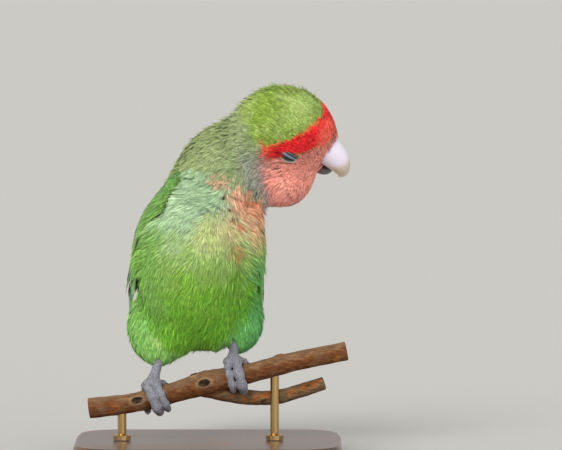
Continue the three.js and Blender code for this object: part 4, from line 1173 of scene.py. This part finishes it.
draw = np.random.default_rng(61)
pair = np.tile(np.arange(6), 2)
side = np.repeat([1, -1], 6)
length = 47 - 1.6 * pair
points, shares, v = tail_vanes(length, np.full(12, 6.6), side * (0.6 + 0.9 * pair),
                               -TAIL_STEP * (pair + (side < 0) * 0.5), side * 0.5 * pair, np.zeros(12), draw)
groups = [(points, shares, v, tail_colours(shares, v, pair), length)]
spot = (np.arange(COVERT_COUNT) - (COVERT_COUNT - 1) / 2) * 0.5
for rows, upper, stack, colour in ((UPPER_COVERTS, 1, 0, RUMP), (UNDER_COVERTS, -1, -TAIL_STEP * 5.5, UNDER_TAIL)):
    for longest, lift in rows:
        length = longest - 2 * np.abs(spot)
        points, shares, v = tail_vanes(length, draw.uniform(4.2, 5.2, COVERT_COUNT), spot * 2.8,
                                       stack + upper * (lift - 0.7 * np.abs(spot)), spot * 2,
                                       np.full(COVERT_COUNT, 1.4 * upper), draw)
        tint = blend(colour, TAIL_GREEN, smooth(0.7, 1, shares) * (0.75 if longest > 22 else 0.25))
        tint = tint * draw.uniform(0.82, 1.14, (COVERT_COUNT, 1, 1, 1))
        groups.append((points, shares, v, tint, length))
tail = vane_piece("tail_feathers", groups, vane_coat)
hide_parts("tail")

# The bill: a deep hooked upper half over a short lower one, smooth horn with faint growth lines. It is whitish at
# the ridge, partly the horn's pale colour and partly a painted highlight, pink over the side and cream at the
# cutting edge, and the lower half is dark grey. Painted shade darkens each nostril and the lower half's top.

UPPER_BILL = (
    [[11, 0.6], [15.5, 0.3], [19.2, -2.4], [21.6, -5.8], [22.1, -8.8], [21.2, -12]],
    [[0, 5.9], [0.2, 5.8], [0.4, 4.8], [0.6, 3.8], [0.8, 2.5], [1, 0.35]],
    [[0, 5.2], [0.2, 5.1], [0.4, 4.3], [0.6, 3.6], [0.8, 2.4], [1, 0.35]],
)
LOWER_BILL = (
    [[9.5, -7.8], [13.5, -8.4], [16.6, -8.9], [18.8, -8]],
    [[0, 4.2], [0.5, 4], [0.8, 3], [1, 1.6]],
    [[0, 2.6], [0.5, 2.4], [0.8, 1.7], [1, 0.5]],
)
NOSTRIL_AT = np.array([18.5, 3.0, 3.5])


def tube(line, wide, tall, side, rings, sides, shape=None, square=1.0):
    """A closed tube along a curve. Its section is an ellipse, wide along the side direction, whose lower half is
    made squarer by raising its share of the width to a power, and a shape function of the share along and the turn
    may swell or pinch it. Rings draw together at both ends."""
    shares = np.linspace(0, 1, rings)
    centre, along = curve_through(line, shares)
    up = unit(np.cross(side, along))
    across = np.cross(along, up)
    turn = np.arange(sides) * 2 * np.pi / sides
    swell = shape(shares[:, None], turn) if shape else np.ones((rings, sides))
    sine = np.where(np.cos(turn) < 0, np.sign(np.sin(turn)) * np.abs(np.sin(turn)) ** square, np.sin(turn))
    x = sine * wide(shares)[:, None] * swell
    y = np.cos(turn) * tall(shares)[:, None] * swell
    points = centre[:, None] + across[:, None] * x[..., None] + up[:, None] * y[..., None]
    return np.concatenate([points.reshape(-1, 3), centre[[0, -1]]]), capped(rings, sides)


def bill_half(shape, rings, sides, *more):
    """Half of the bill as a tube, from its centre line in the head's frame and its half widths and heights."""
    line, wide, tall = shape
    centre = room(HEAD, np.array([[f, u, 0] for f, u in line], float))
    return tube(centre, profile(wide), profile(tall), HEAD[1][2], rings, sides, *more)


def horn_finish(name, edge, share, roughness):
    """Bill horn: the markings clouded with another colour, with fine growth lines and a thin gloss."""
    material, shader, place = finish_of(name, roughness, Coat_Weight=0.2, Coat_Roughness=0.3,
                                        Subsurface_Weight=0.12, Subsurface_Radius=(0.003, 0.0015, 0.001),
                                        Subsurface_Scale=0.4)
    cloud = noise(place, 220.0, 3.0)
    lines = noise(stretched(place, (0.4, 0.4, 6.0)), 260.0)
    feed(shader, "Base Color", tinted(painted_marks(place), stepped(cloud, 0.35, 0.75) * share, edge))
    feed(shader, "Roughness", lines * 0.2 + (roughness - 0.1))
    emboss(shader, lines + cloud * 0.5, 0.12, 0.2)
    return material


def bump(value, at, broad):
    """A round bump, 1 in its middle, where a value is near a place."""
    return np.exp(-((value - at) / broad) ** 2)


def keeled(share, turn):
    """The upper bill's section: a low keel along its ridge."""
    return 1 + 0.035 * bump(np.angle(np.exp(1j * turn)), 0, 0.35) * smooth(1, 0.4, share)


HORN_WHITE_AND_HIGHLIGHT, HORN_PINK, HORN_CREAM, HORN_GREY, HORN_PAINTED_SHADE = (
    linear(c) for c in ("e8e0f2", "e6bfc8", "ccbb9c", "5c5450", "241e1e"))
upper_points, upper_faces = bill_half(UPPER_BILL, 60, 48, keeled, 0.6)
local = local_to(HEAD, upper_points)
for sign in (1, -1):
    hole = np.linalg.norm(local - NOSTRIL_AT * [1, 1, sign], axis=1)
    local = local - np.outer(smooth(1.0, 0.2, hole) * 0.9, NOSTRIL_AT * [0, 0.3, sign] / 4)
# Painted shade in each nostril's hollow.
nostril_shade = smooth(0.95, 0.45, np.linalg.norm(local * [1, 1, 0] + np.abs(local) * [0, 0, 1] - NOSTRIL_AT, axis=1))
upper_points = room(HEAD, local)
f, u, r = local.T
down_side = 0.55 * f + u - 10.5
# Whitish lavender over the ridge: partly the horn's pale colour, partly a painted highlight. The tip is paler horn.
tint = painted(
    HORN_WHITE_AND_HIGHLIGHT,
    (HORN_PINK, smooth(1.0, -4.0, down_side + np.abs(r) * 0.3)),
    (HORN_CREAM, smooth(-3.0, -7.5, u + 0.3 * (18 - f))),
    (HORN_WHITE_AND_HIGHLIGHT, smooth(-10.5, -12.5, u) * 0.3),
    (HORN_PAINTED_SHADE, nostril_shade * 0.8),
)
upper = make_piece("upper_bill", upper_points, upper_faces, horn_finish("horn", linear("f0dfe2"), 0.35, 0.36),
                   colours=tint)
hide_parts("bill_upper")
lower_points, lower_faces = bill_half(LOWER_BILL, 30, 36)
# The lower half's top, under the upper half, is darkened as painted shade.
tint = blend(HORN_GREY, HORN_PAINTED_SHADE, smooth(-8.2, -7.0, local_to(HEAD, lower_points)[:, 1]))
lower = make_piece("lower_bill", lower_points, lower_faces, horn_finish("dark horn", linear("9a948e"), 0.5, 0.3),
                   colours=tint)
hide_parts("bill_lower")

# The eyes, nearly shut. A wet dark ball shows through a slit between an upper and a lower lid of thin bare skin,
# inside a matt ring of pale skin dotted with tiny warts that lies close to the feathers.

EYE_RADIUS, LID_RADIUS = 3.5, 4.25
SLIT_HALF, RIM_HALF = (2.9, 0.62), (3.75, 2.5)
SLIT_TURN = np.radians(-20)
LID_BLUE, LID_SHADE, LID_GREY, LID_BEIGE = (linear(c) for c in ("626d86", "14161b", "74786f", "dcd6c8"))


def eye_frame(side):
    """A frame at an eye's centre: along the slit towards the bill, up across it, and out of the head."""
    along = HEAD[1][0] * np.cos(SLIT_TURN) + HEAD[1][1] * np.sin(SLIT_TURN)
    up = -HEAD[1][0] * np.sin(SLIT_TURN) + HEAD[1][1] * np.cos(SLIT_TURN)
    return room(HEAD, EYE_AT * [1, 1, side]), np.stack([along, up, HEAD[1][2] * side])


def lid_finish(name, roughness, grain, **constants):
    """A lid's or ring's skin: the markings, darkened between tiny round warts, which also stand up a little."""
    material, shader, place = finish_of(name, roughness, **constants)
    warts = place.of("TexVoronoi", "Distance", Vector=place, Scale=3400.0)
    feed(shader, "Base Color", darkened(painted_marks(place), stepped(warts, 0.3, 0.75) * grain, (0.4, 0.4, 0.42)))
    emboss(shader, warts * -1.0, grain * 0.8, 0.1)
    return material


lid_wet = lid_finish("eyelid", 0.4, 0.1, Coat_Weight=0.15, Coat_Roughness=0.2)
lid_matt = lid_finish("eye ring", 0.75, 0.7)
wet, _, _ = finish_of("eyeball", 0.06, Base_Color=(0.006, 0.005, 0.005, 1), Coat_Weight=0.6, Coat_Roughness=0.03)

for word, side in (("right", 1), ("left", -1)):
    place = eye_frame(side)
    points, faces = ball(place, [0, 0, 0], [EYE_RADIUS] * 3)
    eyeball = make_piece("eyeball_" + word, points, faces, wet)
    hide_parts("eye_" + word)
    rows, columns = 19, 64
    turn = np.arange(columns) * 2 * np.pi / columns
    share = np.linspace(0, 1, rows)[:, None]
    narrow = 0.62 + 0.38 * smooth(0.9, -0.6, np.cos(turn))
    slit = np.stack([SLIT_HALF[0] * np.cos(turn) - 0.15, SLIT_HALF[1] * narrow * np.sin(turn)], -1)
    rim = np.stack([RIM_HALF[0] * np.cos(turn), RIM_HALF[1] * np.sin(turn)], -1)
    flat = slit + (rim - slit) * share[..., None] ** 0.9
    x, y = flat[..., 0], flat[..., 1]
    points = np.stack([x, y, np.sqrt(np.maximum(LID_RADIUS**2 - x**2 - y**2, 0.3))], -1)
    above = smooth(-0.2, 0.5, np.sin(turn))
    height = above * (0.42 * bump(share, 0.3, 0.2) - 0.25 * bump(share, 0.72, 0.08))
    height = height + (1 - above) * 0.16 * bump(share, 0.05, 0.07)
    height = height + (0.18 + 0.14 * (1 - above)) * bump(share, 0.86, 0.12)
    points = points * (1 + height[..., None] / LID_RADIUS)
    points = np.concatenate([points[:1] * 0.9, points, points[-1:] * 0.86])
    level = np.concatenate([[[0.0]], share, [[1.0]]]) + 0 * turn
    upper_tint = painted(LID_BLUE, (LID_SHADE, smooth(0.16, 0.04, level)), (LID_SHADE, smooth(0.5, 0.66, level)),
                         (LID_GREY, smooth(0.74, 0.86, level) * 0.8))
    tint = painted(LID_GREY, (LID_SHADE, smooth(0.2, 0.05, level) * 0.7), (LID_BEIGE, smooth(0.35, 0.75, level)),
                   (upper_tint, above + 0 * level))
    points = room(place, points.reshape(-1, 3))
    faces = grid_faces(rows + 2, columns)[:, ::side]
    ringed = np.where((level.ravel()[faces] > 0.66).all(1) | (above[faces % columns] < 0.5).all(1), 1, 0)
    lids = make_piece("lids_" + word, points, faces, lid_wet, colours=tint.reshape(-1, 3))
    lids.data.materials.append(lid_matt)
    lids.data.polygons.foreach_set("material_index", ringed.astype(np.int32))
    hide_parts("eyelids_" + word)

# The legs: short shanks and four toes each, two forward and two back round the branch, in finely scaled grey skin.
# The pads under the toes swell between the joints, and a dark claw grows from each toe's end.

PERCH_LINE = [[-43, -3, 18.6], [-28.1, -3, 20.4], [-18.4, -3, 22.5], [-6.5, -3, 26.1], [0.5, -3, 28],
              [7.2, -3, 29.4], [14.8, -3, 31.2], [29.5, -2.6, 35.1], [50, -2, 39.3]]
PERCH_HALF = profile([[0, 3.6], [0.2, 3.5], [0.3, 3.7], [0.42, 4.1], [0.5, 4.5], [0.6, 4.0], [0.8, 3.5], [1, 3.4]])
FEET = {
    "right": dict(along=-18.6, ankle=[-16.6, 0.6, 39.5], toes={
        "inner_front": ([30, 162], [1.6, 3.0], 1.5), "outer_front": ([30, 172], [-1.8, 0.2], 1.75),
        "inner_rear": ([-12, -100], [1.8, 6.4], 1.3), "outer_rear": ([-14, -150], [-2.8, -4.2], 1.55)}),
    "left": dict(along=10.2, ankle=[10.2, 2.6, 46], toes={
        "inner_front": ([30, 150], [-2.1, -1.9], 1.35), "outer_front": ([30, 168], [1.3, 1.5], 1.85),
        "inner_rear": ([-14, -130], [-1.8, -2.8], 1.35), "outer_rear": ([-10, -105], [2.2, 6.4], 1.5)}),
}
TOE_GAP = 0.3
SHANK_HALF = profile([[0, 2.2], [0.3, 1.75], [0.7, 1.8], [1, 2.7]])
CLAW_WIDE, CLAW_TALL = profile([[0, 0.76], [0.4, 0.6], [1, 0.14]]), profile([[0, 0.95], [0.4, 0.76], [1, 0.18]])
SOLE_HALF = [3.6, 3.0, 2.2]


def across_perch(along):
    """Which way is forward and which is up, square to the branch's direction."""
    forward = unit(np.cross(along, [0, 0, 1]))
    return forward, np.cross(forward, along)


def round_perch(foot, turn, aside, height):
    """Places round the branch: turned from its top, forward positive, aside along it, and a height off its bark."""
    shares = np.linspace(0, 1, 2001)
    share = np.interp(foot["along"] + aside, curve_through(PERCH_LINE, shares)[0][:, 0], shares)
    centre, along = curve_through(PERCH_LINE, share)
    forward, up = across_perch(along)
    angle = np.radians(turn)[:, None]
    reach = (PERCH_HALF(share) + height)[:, None]
    return centre + up * np.cos(angle) * reach + forward * np.sin(angle) * reach, along


leg_skin, leg_shader, place = finish_of("scaled skin", 0.62, Specular_IOR_Level=0.35)
edges = place.of("TexVoronoi", "Distance", {"feature": "DISTANCE_TO_EDGE"}, Vector=place, Scale=1350.0)
each = place.of("TexVoronoi", "Color", Vector=place, Scale=1350.0)
plates = stepped(edges, 0.0, 0.16)
skin_tone = tinted(linear("7e7f8a"), stepped(noise(place, 300.0, 3.0), 0.35, 0.65), linear("9899a3"))
skin_tone = tinted(skin_tone, each.of("SeparateColor", "Red", Color=each) * 0.35, linear("bebec9"))
skin_tone = tinted(skin_tone, stepped(noise(place, 2600.0), 0.56, 0.7) * 0.6, linear("66646f"))
feed(leg_shader, "Base Color", tinted(linear("6e6a72"), plates, skin_tone))
emboss(leg_shader, plates, 0.6, 0.15)
claw_horn, claw_shader, place = finish_of("claw horn", 0.35, Coat_Weight=0.2)
feed(claw_shader, "Base Color", tinted(linear("3e352f"), noise(place, 500.0), linear("8d7f72")))

for word, foot in FEET.items():
    ankle = np.array(foot["ankle"], float)
    sole, way = round_perch(foot, np.array([4.0, 8.0]), np.zeros(2), np.array([2.0, 1.9]))
    middle = (ankle + sole[0]) / 2 + [0, 0.8, 0]
    parts = [tube([ankle, middle, sole[0]], SHANK_HALF, SHANK_HALF, np.array([1.0, 0, 0]), 24, 24),
             ball(LEVEL_ROOM, sole[1], SOLE_HALF)]
    for toe, (turns, asides, half) in foot["toes"].items():
        share = np.linspace(0, 1, 7)
        line, _ = round_perch(foot, turns[0] + (turns[1] - turns[0]) * share,
                              asides[0] + (asides[1] - asides[0]) * share, np.full(7, half + TOE_GAP))
        pads = profile(np.array([[u, half * (1 + 0.1 * np.cos(u * 6 * np.pi)) * min(1, 1 - (u - 0.86) * 2.6)]
                                 for u in np.linspace(0, 1, 40)]))
        parts.append(tube(line, pads, pads, way[0], 40, 20))
        share = np.linspace(0, 1, 5)
        height = (half + 0.5) + (0.13 - half) * share**1.5
        line, _ = round_perch(foot, turns[1] + np.sign(turns[1]) * (46 * share - 12),
                              asides[1] + (asides[1] - asides[0]) * 0.1 * share, height)
        points, faces = tube(line, CLAW_WIDE, CLAW_TALL, way[0], 16, 14)
        claw = make_piece(f"claw_horn_{word}_{toe}", points, faces, claw_horn)
        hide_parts(f"claw_{word}_{toe}")
    points, faces = fused(parts, 0.26)
    leg = make_piece("scaled_leg_" + word, eased(points, faces, 2), faces, leg_skin)
    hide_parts("leg_" + word)

# The perch: a cut length of branch with a side twig. Its bark is reddish brown, lighter and greyer along the top,
# with rings of old buds, and eye-shaped scars with pale rims where twigs broke off. Its ends are sawn.

TWIG_LINE = [[-4, -2.4, 26.4], [4, -1.6, 24.4], [12, -0.8, 22.6], [24, 0.4, 22.2], [33, 1.6, 24.4], [42, 2.4, 27.2]]
TWIG_HALF = profile([[0, 3.2], [0.2, 3.0], [0.4, 2.7], [1, 2.4]])
SCARS = [(0.16, 75, [2.9, 1.8, 1.0]), (0.47, 82, [3.1, 1.9, 1.0]), (0.42, 12, [1.8, 1.4, 1.3]),
         (0.85, -20, [2.0, 1.5, 1.2])]
BARK_RED, BARK_TOP, BARK_TWIG, SCAR_PALE, SCAR_DARK, BARK_ORANGE = (
    linear(c) for c in ("744626", "86664a", "745c42", "9c7e5e", "2a1e18", "9a5a28"))


def bark(u, turn):
    """The bark's relief on a branch: long ridges round it that wander along it, and rings of old bud scars."""
    ridge = np.sin(turn * 9 + 3 * np.sin(u * 21)) + 0.6 * np.sin(turn * 17 - 5 * np.sin(u * 34 + 1))
    rings = np.sin(u * 61 + 1.3 * np.sin(turn * 2)) ** 8
    return 1 + 0.014 * ridge + 0.03 * rings + 0.02 * np.sin(u * 31 + 0.7) + 0.01 * np.sin(u * 67 + 2)


bark_finish, bark_shader, place = finish_of("bark", 0.85, Specular_IOR_Level=0.2)
long_way = stretched(place, (0.28, 1.0, 1.0), (0, 0.24, 0))
fibre = noise(long_way, 1300.0, 6.0, Roughness=0.7)
cloud = noise(place, 190.0, 4.0)
fleck = place.of("TexVoronoi", "Distance", Vector=long_way, Scale=420.0)
tone = darkened(painted_marks(place), stepped(fibre, 0.56, 0.38) * 0.75, (0.5, 0.42, 0.38))
tone = tinted(tone, stepped(fibre, 0.54, 0.68) * 0.4, linear("a88660"))
tone = tinted(tone, stepped(cloud, 0.52, 0.68) * 0.3, linear("86735a"))
feed(bark_shader, "Base Color", tinted(tone, stepped(fleck, 0.16, 0.05) * 0.6, linear("33241b")))
emboss(bark_shader, fibre + fleck * 0.4, 0.7, 0.4)
level_side = np.array([0.0, 1, 0])
parts = [tube(PERCH_LINE, PERCH_HALF, PERCH_HALF, level_side, 260, 72, bark),
         tube(TWIG_LINE, TWIG_HALF, TWIG_HALF, level_side, 130, 56, bark)]
scar_frames = []
for share, turn, half in SCARS:
    centre, along = curve_through(PERCH_LINE, [share])
    forward, up = across_perch(along[0])
    out = up * np.cos(np.radians(turn)) + forward * np.sin(np.radians(turn))
    scar = (centre[0] + out * (PERCH_HALF(share) - 0.3), np.stack([along[0], np.cross(out, along[0]), out]))
    scar_frames.append(scar)
    parts.append(ball(scar, [0, 0, 0], half))
points, faces = fused(parts, 0.42)
points = eased(points, faces, 1)
bent, _ = curve_through(PERCH_LINE, np.linspace(0, 1, 400))
level = points[:, 2] - np.interp(points[:, 0], bent[:, 0], bent[:, 2])
low_twig = smooth(-3.6, -5.0, level) * smooth(-2, 4, points[:, 0])
tint = painted(
    BARK_RED,
    (BARK_TOP, smooth(0.4, 3.4, level + 0.7 * waves(points, 6, 71))),
    (BARK_ORANGE, smooth(0.3, 1.6, waves(points, 8, 72)) * smooth(3, 0, level) * 0.6),
    (BARK_TWIG, low_twig),
    (BARK_ORANGE, low_twig * smooth(0.2, 1.2, waves(points, 5, 73)) * 0.8),
    (SCAR_DARK, low_twig * smooth(0.7, 1.6, waves(points, 4, 74)) * 0.8),
)
for scar, (_, _, half) in zip(scar_frames, SCARS):
    local = local_to(scar, points)
    apart = np.hypot(local[:, 0] / half[0], local[:, 1] / half[1]) + 3 * (local[:, 2] < -1.5)
    points = points - scar[1][2] * (smooth(0.8, 0.4, apart) * 0.9)[:, None]
    tint = painted(tint, (SCAR_PALE, smooth(1.25, 1.0, apart) * smooth(0.6, 0.8, apart) * 0.8),
                   (SCAR_DARK, smooth(0.8, 0.6, apart)))
perch = make_piece("branch", points, faces, bark_finish, colours=tint)
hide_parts("perch")

# The display stand: a turned-edge base of dark stained wood under a satin varnish, and two brass rods with collars
# that are let into it and into the branch's underside.

wood, wood_shader, place = finish_of("stained wood", 0.35, Coat_Weight=0.3, Coat_Roughness=0.2)
rings = noise(stretched(place, (0.12, 1.0, 1.0), (0.05, 0.1, 0.06)), 160.0, 4.0, Distortion=1.2)
pores = noise(stretched(place, (0.06, 1.0, 1.0)), 1800.0)
tone = tinted(linear("3c2416"), stepped(rings, 0.35, 0.65), linear("6e4527"))
feed(wood_shader, "Base Color", tinted(tone, stepped(pores, 0.58, 0.7) * 0.5, linear("24140c")))
feed(wood_shader, "Roughness", rings * 0.2 + 0.25)
emboss(wood_shader, rings + pores * 0.5, 0.08, 0.3)
brass, brass_shader, place = finish_of("brass", 0.28, Metallic=1.0, Base_Color=(0.5, 0.33, 0.14, 1))
feed(brass_shader, "Roughness", noise(stretched(place, (1.0, 1.0, 8.0)), 900.0) * 0.2 + 0.2)
for name, coat in (("stand_base", wood), ("stand_rod_1", brass), ("stand_rod_2", brass)):
    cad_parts[name].data.materials.clear()
    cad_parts[name].data.materials.append(coat)

# The studio: a wide pale floor under an even sky of nearly the same tone, a broad soft key from the upper left and
# a broader, weaker fill from the right. The camera stands nearly level with the bird, 1.8 m off.

bpy.context.scene.view_settings.view_transform = "Standard"
floor_finish, _, _ = finish_of("floor", 0.9, Base_Color=(0.56, 0.55, 0.53, 1), Specular_IOR_Level=0.1)
FLOOR_HALF = 40000
floor = make_piece("floor", FLOOR_HALF * np.array([[-1, -1, 0], [1, -1, 0], [1, 1, 0], [-1, 1, 0]]),
                   np.array([[0, 1, 2, 3]]), floor_finish)
world = bpy.data.worlds.new("studio")
world.use_nodes = True
sky = world.node_tree.nodes["Background"]
sky.inputs["Color"].default_value = (0.64, 0.64, 0.63, 1)
sky.inputs["Strength"].default_value = 1.0
bpy.context.scene.world = world


def pointed(piece, at, target):
    """Puts a lamp or camera at a place in metres and turns it to a target."""
    piece.location = at
    piece.rotation_mode = "QUATERNION"
    piece.rotation_quaternion = (Vector(target) - Vector(at)).to_track_quat("-Z", "Y")
    bpy.context.scene.collection.objects.link(piece)


def far_lamp(name, at, angle, strength, colour):
    """A lamp so far off that its light is even, as broad in the sky as its angle in degrees."""
    lamp = bpy.data.lights.new(name, "SUN")
    lamp.angle = np.radians(angle)
    lamp.energy = strength
    lamp.color = colour
    pointed(bpy.data.objects.new(name, lamp), at, (0, 0, 0))


far_lamp("key", (-0.4, -0.95, 0.85), 28, 1.86, (1, 0.985, 0.96))
far_lamp("fill", (0.8, -0.9, 0.1), 60, 1.0, (0.98, 0.99, 1))

AIM = np.array([26.3, 0, 84.6]) / 1000
DISTANCE = 1.8
TILT = np.radians(4)
MM_PER_PIXEL, PICTURE_WIDTH = 0.36, 562
FRAME_WIDTH = MM_PER_PIXEL * PICTURE_WIDTH / 1000
camera = bpy.data.cameras.new("camera")
camera.sensor_width = 36
camera.lens = 36 * DISTANCE / FRAME_WIDTH
viewer = bpy.data.objects.new("camera", camera)
pointed(viewer, AIM + DISTANCE * np.array([0, -np.cos(TILT), np.sin(TILT)]), AIM)
bpy.context.scene.camera = viewer
camera.clip_start = 0.05
camera.clip_end = 200
